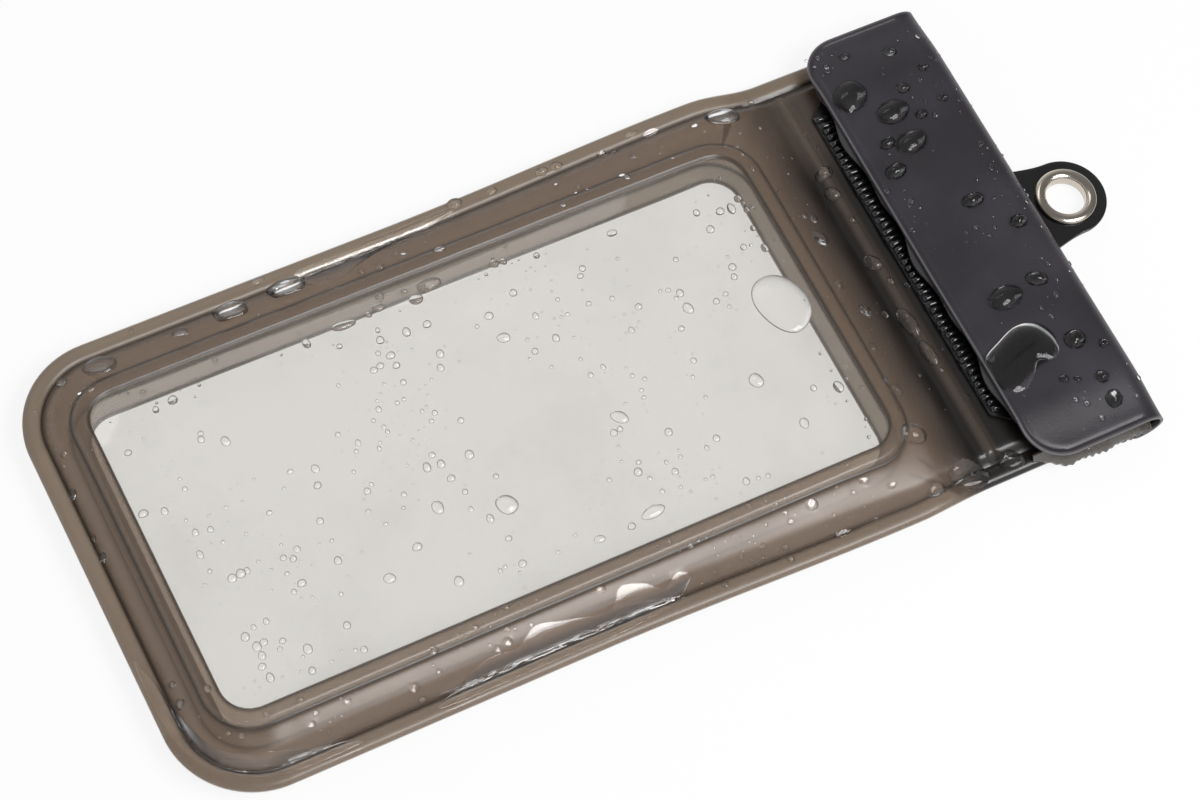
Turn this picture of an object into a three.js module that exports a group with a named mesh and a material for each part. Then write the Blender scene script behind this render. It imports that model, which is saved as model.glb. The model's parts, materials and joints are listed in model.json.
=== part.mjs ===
// Waterproof phone pouch, closed and lying on its back, filled out as it is with a phone inside.
// Millimetres. +X runs across the pouch, +Y along it towards the closure and +Z is up.
// The origin is on the surface that it lies on, under the middle of its bounding box.

import * as THREE from 'three';
import { mergeVertices } from 'three/addons/utils/BufferGeometryUtils.js';

// The space for a phone
const phoneWidth = 70.6;
const phoneLength = 136.6;
const phoneThickness = 8.6;
const phoneCornerRadius = 12;
const phoneClearance = 0.1;
const phoneOffsetX = 3.3;
const phoneBottomMargin = 6.9;

// Films, and the gap that welded neighbours keep
const filmThickness = 0.5;
const windowThickness = 0.4;
const weldGap = 0.1;

// The windows and the raised weld band around each
const windowWidth = 73.8;
const windowLength = 140.2;
const windowCornerRadius = 9;
const windowBottomMargin = 8.2;
const bandWidth = 3.4;
const bandHeight = 0.45;
const windowOverlap = 1;

// The bag's widths and its mouth
const mouthSetback = 6;
const pocketHalfWidth = 46.9;
const shoulderHalfWidth = 48.4;
const mouthHalfWidth = 47.2;
const cornerRadius = 17;
const pocketWeldHeight = 5;
const mouthHalfGap = 1.4;
const mouthFlankWidth = 2.5;

// The welded rim bead
const beadWidth = 3.4;
const beadHeight = 0.7;

// The closure patch's place along the pouch: the lower zip keeps clear of its foot
const patchLength = 22.4;
const patchSetback = 7.8;
const patchZipMargin = 3.45;

// The press zips: one below the flap's edge and a double one under it
const lowerZipSetback = patchSetback + patchLength + patchZipMargin;
const upperZipSetback = 11.2;
const zipPitch = 4;
const zipBaseMargin = 1.5;
const zipBaseThickness = 0.5;
const zipRibWidth = 0.8;
const zipRibHead = 1.3;
const zipWallThickness = 0.5;
const zipClearance = 0.3;
const zipEndClearance = 0.3;
const zipHalfLength = mouthHalfWidth - beadWidth - mouthFlankWidth - zipEndClearance;
const zipRidgeWidth = 2;
const zipRidgeHeight = 0.5;

// The bag's stations from its bottom weld: past the window they follow the window's top
const shoulderMargin = 5.4;
const neckMargin = 1;
const rampLength = 9.95;
const closureZipMargin = 2.7;
const windowTopFromBottom = windowBottomMargin + windowLength;
const shoulderFromBottom = windowTopFromBottom - shoulderMargin;
const neckFromBottom = windowTopFromBottom + windowOverlap + beadWidth + neckMargin;
const closureFromBottom = windowTopFromBottom + rampLength;
const pouchLength = closureFromBottom + closureZipMargin + lowerZipSetback;

// The hook and loop closure, on the level stretch between the mouth's flanks
const patchSideMargin = 1.3;
const patchFootMargin = 5;
const patchHalfWidth = mouthHalfWidth - beadWidth - mouthFlankWidth - patchSideMargin;
const patchFootHalfWidth = patchHalfWidth - patchFootMargin;
const patchFlare = 6;
const patchThickness = 0.5;
const tapeThickness = 1.1;
const tapeWidth = 14;
const tapeEndMargin = 3;
const tapeHalfLength = patchFootHalfWidth - tapeEndMargin;
const tapeFootMargin = 6.1;

// The flap: an outer vinyl ply and its lining, welded together
const flapHalfWidth = 49;
const flapThickness = 0.6;
const liningThickness = 0.4;
const liningInset = 0.8;
const flapReach = 27.5;
const flapCornerRadius = 8;
const flapTailLength = 14;
const flapEndDroop = 1.6;
const flapLevelMargin = 5;

// The lanyard tab with its eyelet
const tabThickness = 0.8;
const tabReach = 16.6;
const tabEndRadius = 8.2;
const tabBaseHalfWidth = 10.2;
const tabTailLength = 10;
const tabRise = 1.8;
const tabRiseMargin = 0.9;
const tabOffsetX = -1.4;
const eyeletBoreRadius = 3.95;
const eyeletWall = 0.5;
const eyeletFlangeRadius = 6.15;
const eyeletFlangeHeight = 0.9;
const eyeletLipRadius = 5.2;
const eyeletClearance = 0.15;
const washerThickness = 0.4;

// How finely curves are cut
const arcSteps = 6;
const sideSteps = 9;
const bottomSteps = 5;
const neckSteps = 5;
const mouthSteps = 3;
const noseSteps = 8;
const patchColumns = 4;
const flapCornerSteps = 4;
const flapColumns = 12;
const tabRows = 6;
const eyeletSides = 28;

// Places along the pouch that follow from the sizes above
const bottomY = -(pouchLength + tabReach) / 2;
const noseY = bottomY + pouchLength;
const mouthY = noseY - mouthSetback;
const shoulderY = bottomY + shoulderFromBottom;
const neckY = bottomY + neckFromBottom;
const closureY = bottomY + closureFromBottom;
const phoneCentreY = bottomY + phoneBottomMargin + phoneLength / 2;
const windowCentreY = bottomY + windowBottomMargin + windowLength / 2;
const lowerZipY = noseY - lowerZipSetback;
const upperZipY = noseY - upperZipSetback;
const patchTopY = noseY - patchSetback;
const patchFootY = patchTopY - patchLength;
const tapeCentreY = patchFootY + tapeFootMargin + tapeWidth / 2;

// Heights that follow from what lies on what
const flapUnderHeight = tabThickness + weldGap;
const mouthWeldHeight = flapUnderHeight + flapThickness + weldGap + filmThickness + mouthHalfGap;
const rearFloor = filmThickness + weldGap + windowThickness;
const plateauHeight = rearFloor + phoneThickness + phoneClearance + windowThickness + weldGap;
const closureTop = mouthWeldHeight + mouthHalfGap + filmThickness;
const patchTop = closureTop + weldGap + patchThickness;
const loopTop = patchTop + weldGap + tapeThickness;
const hookTop = loopTop + weldGap + tapeThickness;
const liningTop = hookTop + weldGap + liningThickness;
const flapTop = liningTop + weldGap + flapThickness;
const noseRadius = (flapTop - flapUnderHeight) / 2;
const noseCentreY = noseY - noseRadius;
const noseCentreHeight = flapUnderHeight + noseRadius;

const clamp01 = (value) => Math.min(Math.max(value, 0), 1);

// A step from 0 to 1 with level ends
function smooth(value) {
  const t = clamp01(value);
  return t * t * (3 - 2 * t);
}

// Half the bag's width at a station along it: drawn in where the bag is filled out
function halfWidthAt(y) {
  if (y < shoulderY) {
    const fromMiddle = smooth((y - windowCentreY) / (shoulderY - windowCentreY));
    return pocketHalfWidth + (shoulderHalfWidth - pocketHalfWidth) * fromMiddle;
  }
  const toClosure = smooth((y - shoulderY) / (closureY - shoulderY));
  return shoulderHalfWidth + (mouthHalfWidth - shoulderHalfWidth) * toClosure;
}

// Distance in from the welded edge: the two sides and the bottom, but not the mouth
function rimDistance(x, y) {
  const cornerX = pocketHalfWidth - cornerRadius;
  const cornerY = bottomY + cornerRadius;
  if (Math.abs(x) > cornerX && y < cornerY) {
    return cornerRadius - Math.hypot(Math.abs(x) - cornerX, y - cornerY);
  }
  return Math.min(halfWidthAt(y) - Math.abs(x), y - bottomY);
}

// Distance out from the upright outline of the space for a phone, 0 inside it
function phoneDistance(x, y) {
  const overX = Math.abs(x - phoneOffsetX) - phoneWidth / 2 + phoneCornerRadius;
  const overY = Math.abs(y - phoneCentreY) - phoneLength / 2 + phoneCornerRadius;
  const corner = Math.hypot(Math.max(overX, 0), Math.max(overY, 0));
  const inside = Math.min(Math.max(overX, overY), 0);
  return Math.max(corner + inside - phoneCornerRadius, 0);
}

// How far the film is lifted towards the pocket's full height: 0 at the rim and the closure
function fullness(x, y) {
  const inward = Math.max(Math.min(rimDistance(x, y) - beadWidth, closureY - y), 0);
  const outward = phoneDistance(x, y);
  if (inward + outward === 0) return 1;
  return Math.sin((Math.PI / 2) * inward / (inward + outward));
}

// Height of the plane in which the two sheets are welded
function weldHeight(y) {
  const fall = smooth((y - windowCentreY - windowLength / 2 + bandWidth) / (closureY - windowCentreY
    - windowLength / 2 + bandWidth));
  return pocketWeldHeight + (mouthWeldHeight - pocketWeldHeight) * fall;
}

// Half the gap that the sheets keep at the closure, where the zips hold them apart
function closureGap(x, y) {
  return mouthHalfGap * smooth((rimDistance(x, y) - beadWidth) / mouthFlankWidth);
}

function frontInner(x, y) {
  const full = fullness(x, y);
  const rest = weldHeight(y);
  return rest + weldGap / 2 + (closureGap(x, y) - weldGap / 2) * (1 - full) + (plateauHeight - rest) * full;
}

function rearInner(x, y) {
  const full = fullness(x, y);
  const rest = weldHeight(y);
  return rest - weldGap / 2 - (closureGap(x, y) - weldGap / 2) * (1 - full) - (rest - filmThickness) * full;
}

// The bead's height above the film, a half round along the rim
function bead(x, y) {
  const across = (2 * rimDistance(x, y)) / beadWidth - 1;
  return beadHeight * Math.sqrt(Math.max(1 - across * across, 0));
}

// The weld band's height above the film, level between two sloping shoulders
function band(x, y) {
  const outward = windowDistance(x, y);
  const shoulder = bandWidth / 4;
  return bandHeight * clamp01(outward / shoulder) * clamp01((bandWidth - outward) / shoulder);
}

// The ridge that the lower zip raises in the front sheet
function zipRidge(x, y) {
  const along = clamp01((rimDistance(x, y) - beadWidth) / zipRidgeWidth);
  const across = (2 * (y - lowerZipY)) / zipRidgeWidth;
  return zipRidgeHeight * along * Math.sqrt(Math.max(1 - across * across, 0));
}

// Distance out from a window's inner weld line, negative inside it
function windowDistance(x, y) {
  const radius = windowCornerRadius - bandWidth;
  const overX = Math.abs(x) - windowWidth / 2 + bandWidth + radius;
  const overY = Math.abs(y - windowCentreY) - windowLength / 2 + bandWidth + radius;
  const corner = Math.hypot(Math.max(overX, 0), Math.max(overY, 0));
  return corner + Math.min(Math.max(overX, overY), 0) - radius;
}

// A flat net of triangles in the plan, with each point held once
class Net {
  constructor() {
    this.points = [];
    this.faces = [];
    this.known = new Map();
  }

  point(x, y) {
    const key = `${x.toFixed(4)},${y.toFixed(4)}`;
    if (!this.known.has(key)) {
      this.known.set(key, this.points.length);
      this.points.push([x, y]);
    }
    return this.known.get(key);
  }

  face(a, b, c) {
    if (a !== b && b !== c && c !== a) this.faces.push([a, b, c]);
  }

  // Fills the strip between two closed loops of as many points, the outer one first
  ring(outer, inner) {
    outer.forEach((_, i) => {
      const next = (i + 1) % outer.length;
      const corners = [outer[i], outer[next], inner[next], inner[i]].map((p) => this.point(...p));
      this.face(corners[0], corners[1], corners[2]);
      this.face(corners[0], corners[2], corners[3]);
    });
  }

  // Fills between rows of as many points, each row further on and running to the right
  rows(list) {
    for (let r = 0; r + 1 < list.length; r += 1) {
      for (let i = 0; i + 1 < list[r].length; i += 1) {
        const corners = [list[r][i], list[r][i + 1], list[r + 1][i + 1], list[r + 1][i]];
        const [a, b, c, d] = corners.map((p) => this.point(...p));
        this.face(a, b, c);
        this.face(a, c, d);
      }
    }
  }

  // Closes a loop to its middle
  fan(loop, middle) {
    const centre = this.point(...middle);
    loop.forEach((p, i) => {
      this.face(this.point(...p), this.point(...loop[(i + 1) % loop.length]), centre);
    });
  }
}

// The closed solid between two surfaces over a net: each maps a plan point to a point in space
function solidBetween(net, lower, upper) {
  const count = net.points.length;
  const positions = [...net.points.map((p) => upper(...p)), ...net.points.map((p) => lower(...p))];
  const triangles = [];
  const edges = new Set();
  for (const [a, b, c] of net.faces) {
    triangles.push([a, b, c], [count + a, count + c, count + b]);
    [[a, b], [b, c], [c, a]].forEach(([from, to]) => edges.add(`${from},${to}`));
  }
  for (const edge of edges) {
    const [from, to] = edge.split(',').map(Number);
    if (edges.has(`${to},${from}`)) continue;
    triangles.push([count + from, count + to, to], [count + from, to, from]);
  }
  const geometry = new THREE.BufferGeometry();
  geometry.setAttribute('position', new THREE.Float32BufferAttribute(positions.flat(), 3));
  geometry.setIndex(triangles.flat());
  return geometry;
}

// A film whose two faces stand straight above a plan point
const filmBetween = (net, lower, upper) => solidBetween(
  net,
  (x, y) => [x, y, lower(x, y)],
  (x, y) => [x, y, upper(x, y)],
);

// Stations from 0 to 1, both ends included
const stations = (steps) => Array.from({ length: steps + 1 }, (_, i) => i / steps);

// Insets from the rim at which the bead is cut, the rim itself first
const beadInsets = [0, beadWidth / 3, (2 * beadWidth) / 3, beadWidth, beadWidth + mouthFlankWidth];

// Columns across the neck line, from its right end to its left one
function neckColumns() {
  const half = halfWidthAt(neckY);
  const right = beadInsets.map((inset) => half - inset);
  const inner = right[right.length - 1];
  const middle = stations(neckSteps).slice(1, -1).map((t) => inner * (1 - 2 * t));
  return [...right, ...middle, ...right.map((x) => -x).reverse()];
}

// The pocket's edge moved in by an inset, anticlockwise from the right end of the neck line
function pocketEdge(inset) {
  const half = halfWidthAt(neckY);
  const points = neckColumns().map((x) => [x * (1 - inset / half), neckY - inset]);
  const cornerX = pocketHalfWidth - cornerRadius;
  const cornerY = bottomY + cornerRadius;
  const sideLength = neckY - cornerY;
  const arc = (from) => stations(arcSteps).map((t) => {
    const angle = from + (t * Math.PI) / 2;
    const reach = cornerRadius - inset;
    return [Math.sign(Math.cos(from + Math.PI / 4)) * cornerX + reach * Math.cos(angle),
      cornerY + reach * Math.sin(angle)];
  });
  const side = stations(sideSteps).slice(1, -1).map((t) => neckY - sideLength * t);
  side.forEach((y) => points.push([-(halfWidthAt(y) - inset), y]));
  points.push(...arc(Math.PI));
  const bottom = stations(bottomSteps).slice(1, -1);
  bottom.forEach((t) => points.push([cornerX * (2 * t - 1), bottomY + inset]));
  points.push(...arc((3 * Math.PI) / 2));
  side.reverse().forEach((y) => points.push([halfWidthAt(y) - inset, y]));
  return points;
}

// Where a ray from the middle of a round-cornered box leaves it
function roundedBoxPoint(dirX, dirY, halfX, halfY, radius) {
  const reach = 1 / Math.max(Math.abs(dirX) / halfX, Math.abs(dirY) / halfY);
  const x = Math.abs(dirX * reach);
  const y = Math.abs(dirY * reach);
  const cornerX = halfX - radius;
  const cornerY = halfY - radius;
  if (x <= cornerX || y <= cornerY) return [dirX * reach, dirY * reach];
  const a = dirX * dirX + dirY * dirY;
  const b = Math.abs(dirX) * cornerX + Math.abs(dirY) * cornerY;
  const c = cornerX * cornerX + cornerY * cornerY - radius * radius;
  const onArc = (b + Math.sqrt(Math.max(b * b - a * c, 0))) / a;
  return [dirX * onArc, dirY * onArc];
}

// The loop that runs an offset outside a window's inner weld line, one point to each edge point
function windowLoop(offset) {
  const halfX = windowWidth / 2 - bandWidth + offset;
  const halfY = windowLength / 2 - bandWidth + offset;
  const radius = windowCornerRadius - bandWidth + offset;
  const outerHalfX = halfWidthAt(windowCentreY);
  const outerHalfY = (neckY - bottomY) / 2;
  const outerCentreY = (neckY + bottomY) / 2;
  return pocketEdge(0).map(([x, y]) => {
    const dirX = (x / outerHalfX) * halfX;
    const dirY = ((y - outerCentreY) / outerHalfY) * halfY;
    const [px, py] = roundedBoxPoint(dirX, dirY, halfX, halfY, radius);
    return [px, windowCentreY + py];
  });
}

const mixLoops = (from, to, t) => from.map(([x, y], i) => [x + (to[i][0] - x) * t, y + (to[i][1] - y) * t]);

// Offsets from the inner weld line at which a window's band is cut, the outermost first
const bandOffsets = [bandWidth + windowOverlap, bandWidth, (3 * bandWidth) / 4, bandWidth / 4, 0];

// The plan of both sheets: a frame around the window and a plain stretch up to the mouth
function sheetNet() {
  const net = new Net();
  const edge = beadInsets.slice(0, 4).map((inset) => pocketEdge(inset));
  const bandLoops = bandOffsets.map((offset) => windowLoop(offset));
  const inner = edge[edge.length - 1];
  const margin = [1 / 4, 1 / 2, 3 / 4].map((t) => mixLoops(inner, bandLoops[0], t));
  const loops = [...edge, ...margin, ...bandLoops];
  for (let i = 0; i + 1 < loops.length; i += 1) net.ring(loops[i], loops[i + 1]);
  const ridge = [-1, -1 / 2, 0, 1 / 2, 1].map((t) => lowerZipY + (t * zipRidgeWidth) / 2);
  const ridgeTop = ridge[ridge.length - 1];
  const plain = stations(mouthSteps).slice(1).map((t) => ridgeTop + (mouthY - ridgeTop) * t);
  const levels = [neckY, (neckY + closureY) / 2, ...ridge, ...plain].sort((a, b) => a - b);
  const half = halfWidthAt(neckY);
  const columns = neckColumns().reverse();
  net.rows(levels.map((y) => columns.map((x) => [x * (halfWidthAt(y) / half), y])));
  return net;
}

// The plan of both windows, reaching under the weld band
function windowNet() {
  const net = new Net();
  const loops = bandOffsets.map((offset) => windowLoop(offset));
  const inner = loops[loops.length - 1];
  const middle = inner.map(() => [0, windowCentreY]);
  loops.push(mixLoops(inner, middle, 1 / 3));
  for (let i = 0; i + 1 < loops.length; i += 1) net.ring(loops[i], loops[i + 1]);
  net.fan(loops[loops.length - 1], [0, windowCentreY]);
  return net;
}

const frontSheet = () => filmBetween(
  sheetNet(),
  frontInner,
  (x, y) => frontInner(x, y) + filmThickness + bead(x, y) + band(x, y) + zipRidge(x, y),
);

const rearSheet = () => filmBetween(
  sheetNet(),
  (x, y) => rearInner(x, y) - filmThickness - bead(x, y),
  rearInner,
);

const frontWindow = () => filmBetween(
  windowNet(),
  (x, y) => frontInner(x, y) - weldGap - windowThickness,
  (x, y) => frontInner(x, y) - weldGap,
);

const rearWindow = () => filmBetween(
  windowNet(),
  (x, y) => rearInner(x, y) + weldGap,
  (x, y) => rearInner(x, y) + weldGap + windowThickness,
);

// A bar along X, centred on it, from a profile whose points are given as [y, z]
function barAlongX(profile, halfLength) {
  const shape = new THREE.Shape(profile.map(([y, z]) => new THREE.Vector2(y, z)));
  const geometry = new THREE.ExtrudeGeometry(shape, { depth: 2 * halfLength, bevelEnabled: false });
  geometry.applyMatrix4(new THREE.Matrix4().set(
    0, 0, 1, -halfLength,
    1, 0, 0, 0,
    0, 1, 0, 0,
    0, 0, 0, 1,
  ));
  return geometry;
}

// A zip strip's places across it, one for each rib
const zipRibPlaces = (count) => Array.from({ length: count }, (_, i) => (i - (count - 1) / 2) * zipPitch);

const zipGap = 2 * mouthHalfGap - 2 * weldGap - 2 * zipBaseThickness;

// The half of a zip with the ribs, welded inside the front sheet
function zipRibStrip(centreY, count) {
  const top = mouthWeldHeight + mouthHalfGap - weldGap;
  const foot = top - zipBaseThickness;
  const tip = foot - zipGap + zipClearance;
  const neck = (foot + tip) / 2;
  const places = zipRibPlaces(count);
  const edge = places[count - 1] + zipRibHead / 2 + zipWallThickness + zipClearance + zipBaseMargin;
  const profile = [[edge, foot], [edge, top], [-edge, top], [-edge, foot]];
  for (const place of places) {
    profile.push([place - zipRibWidth / 2, foot], [place - zipRibWidth / 2, neck]);
    profile.push([place - zipRibHead / 2, neck], [place, tip], [place + zipRibHead / 2, neck]);
    profile.push([place + zipRibWidth / 2, neck], [place + zipRibWidth / 2, foot]);
  }
  return barAlongX(profile.map(([y, z]) => [centreY + y, z]), zipHalfLength);
}

// The half of a zip with the grooves, welded inside the rear sheet
function zipGrooveStrip(centreY, count) {
  const bottom = mouthWeldHeight - mouthHalfGap + weldGap;
  const foot = bottom + zipBaseThickness;
  const lip = foot + zipGap - zipClearance;
  const places = zipRibPlaces(count);
  const inner = zipRibHead / 2 + zipClearance / 2;
  const outer = inner + zipWallThickness;
  const edge = places[count - 1] + zipRibHead / 2 + zipWallThickness + zipClearance + zipBaseMargin;
  const profile = [[-edge, foot], [-edge, bottom], [edge, bottom], [edge, foot]];
  for (const place of [...places].reverse()) {
    profile.push([place + outer, foot], [place + outer, lip], [place + inner, lip], [place + inner, foot]);
    profile.push([place - inner, foot], [place - inner, lip], [place - outer, lip], [place - outer, foot]);
  }
  return barAlongX(profile.map(([y, z]) => [centreY + y, z]), zipHalfLength);
}

const topRun = noseCentreY - (noseY - flapReach);
const noseRun = Math.PI * noseRadius;

// The flap's path, measured from its free edge back over the top, round the nose and underneath
function flapPoint(x, along, depth) {
  const level = tapeHalfLength + flapLevelMargin;
  const ends = smooth((Math.abs(x) - level) / (flapHalfWidth - level));
  const radius = noseRadius - depth;
  let y;
  let z;
  if (along < topRun) {
    y = noseCentreY - topRun + along;
    z = noseCentreHeight + radius;
  } else if (along < topRun + noseRun) {
    const angle = (along - topRun) / noseRadius;
    y = noseCentreY + radius * Math.sin(angle);
    z = noseCentreHeight + radius * Math.cos(angle);
  } else {
    y = noseCentreY - (along - topRun - noseRun);
    z = noseCentreHeight - radius;
  }
  const raised = (z - flapUnderHeight) / (flapTop - flapUnderHeight);
  return [x, y, z - flapEndDroop * ends * raised];
}

// The plan of a flap ply, as rows across it from the free edge with its rounded corners
function flapNet(inset, tail) {
  const net = new Net();
  const half = flapHalfWidth - inset;
  const round = flapCornerRadius - inset;
  const corner = stations(flapCornerSteps).map((t) => round * (1 - Math.cos((t * Math.PI) / 2)));
  const nose = stations(noseSteps).map((t) => topRun + noseRun * t);
  const levels = [...corner.map((s) => inset + s), (flapCornerRadius + topRun) / 2, ...nose];
  const kept = levels.filter((along) => along < topRun + noseRun + tail);
  if (tail > 0) kept.push(topRun + noseRun + tail);
  net.rows(kept.map((along) => {
    const short = Math.max(flapCornerRadius - along, 0);
    const rowHalf = half - (round - Math.sqrt(Math.max(round * round - short * short, 0)));
    return stations(flapColumns).map((t) => [rowHalf * (2 * t - 1), along]);
  }));
  return net;
}

const flapOuter = () => solidBetween(
  flapNet(0, flapTailLength),
  (x, along) => flapPoint(x, along, flapThickness),
  (x, along) => flapPoint(x, along, 0),
);

function flapLining() {
  const top = flapThickness + weldGap;
  return solidBetween(
    flapNet(liningInset, -noseRun / noseSteps),
    (x, along) => flapPoint(x, along, top + liningThickness),
    (x, along) => flapPoint(x, along, top),
  );
}

// The vinyl patch on the front sheet that carries the loop tape, narrower at its foot
function closurePatch() {
  const levels = [patchFootY, patchFootY + patchFlare, patchTopY];
  const halves = [patchFootHalfWidth, patchHalfWidth, patchHalfWidth];
  const net = new Net();
  net.rows(levels.map((y, i) => stations(patchColumns).map((t) => [halves[i] * (2 * t - 1), y])));
  return filmBetween(net, () => patchTop - patchThickness, () => patchTop);
}

// A hook or loop tape, given the height of its top
function tape(top) {
  const geometry = new THREE.BoxGeometry(2 * tapeHalfLength, tapeWidth, tapeThickness);
  geometry.translate(0, tapeCentreY, top - tapeThickness / 2);
  return geometry;
}

const eyeletY = noseY + tabReach - tabEndRadius;
const tabJoinY = eyeletY - tabEndRadius;
const tabRiseY = noseCentreY + tabRiseMargin;
const eyeletBarrelRadius = eyeletBoreRadius + eyeletWall;
const tabHoleRadius = eyeletBarrelRadius + eyeletClearance;

// The tab lies flat under the flap and rises past the nose to its level end
function tabHeight(y) {
  return tabRise * smooth((y - tabRiseY) / (tabJoinY - tabRiseY));
}

// Half the tab's width: a base that narrows to the round end
function tabHalfWidth(y) {
  const past = Math.max(y - eyeletY, 0);
  const round = Math.sqrt(Math.max(tabEndRadius * tabEndRadius - past * past, 0));
  const taper = smooth((eyeletY - y) / (eyeletY - noseCentreY));
  return round + (tabBaseHalfWidth - tabEndRadius) * taper;
}

// The tab's plan: a frame around its hole, and a tail that reaches under the flap
function tabNet() {
  const net = new Net();
  const perSide = eyeletSides / 4;
  const angles = stations(eyeletSides).slice(0, -1).map((t) => 2 * Math.PI * t - (3 * Math.PI) / 4);
  const hole = angles.map((a) => [tabHoleRadius * Math.cos(a), eyeletY + tabHoleRadius * Math.sin(a)]);
  const join = stations(perSide).map((t) => [tabHalfWidth(tabJoinY) * (2 * t - 1), tabJoinY]);
  const around = stations(eyeletSides - perSide).slice(1, -1).map(tabOutlinePoint);
  net.ring([...join, ...around], hole);
  const levels = stations(tabRows).map((t) => tabRiseY + (tabJoinY - tabRiseY) * t);
  levels.unshift(noseCentreY - tabTailLength);
  net.rows(levels.map((y) => stations(perSide).map((t) => [tabHalfWidth(y) * (2 * t - 1), y])));
  return net;
}

// A point on the tab's sides and round end, from the join's right end round to its left one
function tabOutlinePoint(t) {
  const straight = 1 / 5;
  const side = (s) => tabJoinY + (eyeletY - tabJoinY) * s;
  if (t < straight) return [tabHalfWidth(side(t / straight)), side(t / straight)];
  if (t > 1 - straight) return [-tabHalfWidth(side((1 - t) / straight)), side((1 - t) / straight)];
  const angle = (Math.PI * (t - straight)) / (1 - 2 * straight);
  return [tabEndRadius * Math.cos(angle), eyeletY + tabEndRadius * Math.sin(angle)];
}

function lanyardTab() {
  const geometry = filmBetween(tabNet(), (x, y) => tabHeight(y), (x, y) => tabHeight(y) + tabThickness);
  return geometry.translate(tabOffsetX, 0, 0);
}

// A ring turned about the eyelet's axis from a closed profile of [radius, height] points
function eyeletRing(profile) {
  const points = [...profile, profile[0]].map(([r, z]) => new THREE.Vector2(r, z));
  const geometry = new THREE.LatheGeometry(points, eyeletSides);
  geometry.rotateX(Math.PI / 2);
  return geometry.translate(tabOffsetX, eyeletY, tabRise + tabThickness / 2);
}

// The eyelet: a rolled flange on the tab's top, the barrel and the lip turned out below
function eyelet() {
  const seat = tabThickness / 2 + weldGap;
  const crown = seat + eyeletFlangeHeight;
  const middle = (eyeletBoreRadius + eyeletFlangeRadius) / 2;
  const lipTop = -seat - washerThickness - weldGap;
  const lipBottom = lipTop - eyeletWall;
  return eyeletRing([
    [eyeletBoreRadius, lipBottom + eyeletWall / 2],
    [eyeletBarrelRadius, lipBottom],
    [eyeletLipRadius, lipBottom + eyeletWall / 3],
    [eyeletLipRadius, lipTop],
    [eyeletBarrelRadius, lipTop],
    [eyeletBarrelRadius, seat],
    [eyeletFlangeRadius - eyeletWall / 2, seat],
    [eyeletFlangeRadius, seat + eyeletFlangeHeight / 3],
    [(middle + eyeletFlangeRadius) / 2, crown - eyeletFlangeHeight / 8],
    [middle, crown],
    [(middle + eyeletBoreRadius) / 2, crown - eyeletFlangeHeight / 8],
    [eyeletBoreRadius, seat + eyeletFlangeHeight / 3],
  ]);
}

// The washer under the tab that the eyelet's lip is turned over
function eyeletWasher() {
  const top = -tabThickness / 2 - weldGap;
  const inner = tabHoleRadius;
  return eyeletRing([
    [inner, top - washerThickness],
    [eyeletFlangeRadius - washerThickness / 2, top - washerThickness],
    [eyeletFlangeRadius, top - washerThickness / 2],
    [eyeletFlangeRadius, top],
    [inner, top],
  ]);
}

const finish = (color, roughness, metalness = 0, opacity = 1) => new THREE.MeshStandardMaterial({
  color,
  roughness,
  metalness,
  opacity,
  transparent: opacity < 1,
});

const smokeFilm = () => finish(0x6e6056, 0.35, 0, 0.7);
const clearFilm = () => finish(0xe8e6e1, 0.12, 0, 0.25);
const zipPlastic = () => finish(0xb9b4ad, 0.3, 0, 0.6);
const satinVinyl = () => finish(0x424145, 0.45);
const glossVinyl = () => finish(0x0e0e10, 0.15);
const tapeFabric = () => finish(0x111113, 0.95);
const nickel = () => finish(0xc9beb2, 0.15, 1);

const pouch = new THREE.Group();

function add(name, geometry, material) {
  geometry.deleteAttribute('normal');
  geometry.deleteAttribute('uv');
  const mesh = new THREE.Mesh(mergeVertices(geometry), material);
  mesh.name = name;
  pouch.add(mesh);
}

add('rear_sheet', rearSheet(), smokeFilm());
add('rear_window', rearWindow(), clearFilm());
add('front_sheet', frontSheet(), smokeFilm());
add('front_window', frontWindow(), clearFilm());
add('lower_zip_ribs', zipRibStrip(lowerZipY, 1), zipPlastic());
add('lower_zip_grooves', zipGrooveStrip(lowerZipY, 1), zipPlastic());
add('upper_zip_ribs', zipRibStrip(upperZipY, 2), zipPlastic());
add('upper_zip_grooves', zipGrooveStrip(upperZipY, 2), zipPlastic());
add('flap_outer', flapOuter(), satinVinyl());
add('flap_lining', flapLining(), glossVinyl());
add('closure_patch', closurePatch(), glossVinyl());
add('loop_tape', tape(loopTop), tapeFabric());
add('hook_tape', tape(hookTop), tapeFabric());
add('lanyard_tab', lanyardTab(), glossVinyl());
add('eyelet', eyelet(), nickel());
add('eyelet_washer', eyeletWasher(), nickel());

export default pouch;
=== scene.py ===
"""The looks of a waterproof phone pouch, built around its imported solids.

The pouch lies on its back, wet and filled out. Millimetres are used while a shape is worked out, and a mesh is
written in metres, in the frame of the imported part: +X across the pouch, +Y towards the flap and +Z up.
"""

from __future__ import annotations

import functools
import json
import logging
import math
from dataclasses import dataclass
from enum import Enum
from typing import Callable, ClassVar, Iterable, Sequence, Union

import bpy
import numpy as np
from mathutils import Matrix, Vector


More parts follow.
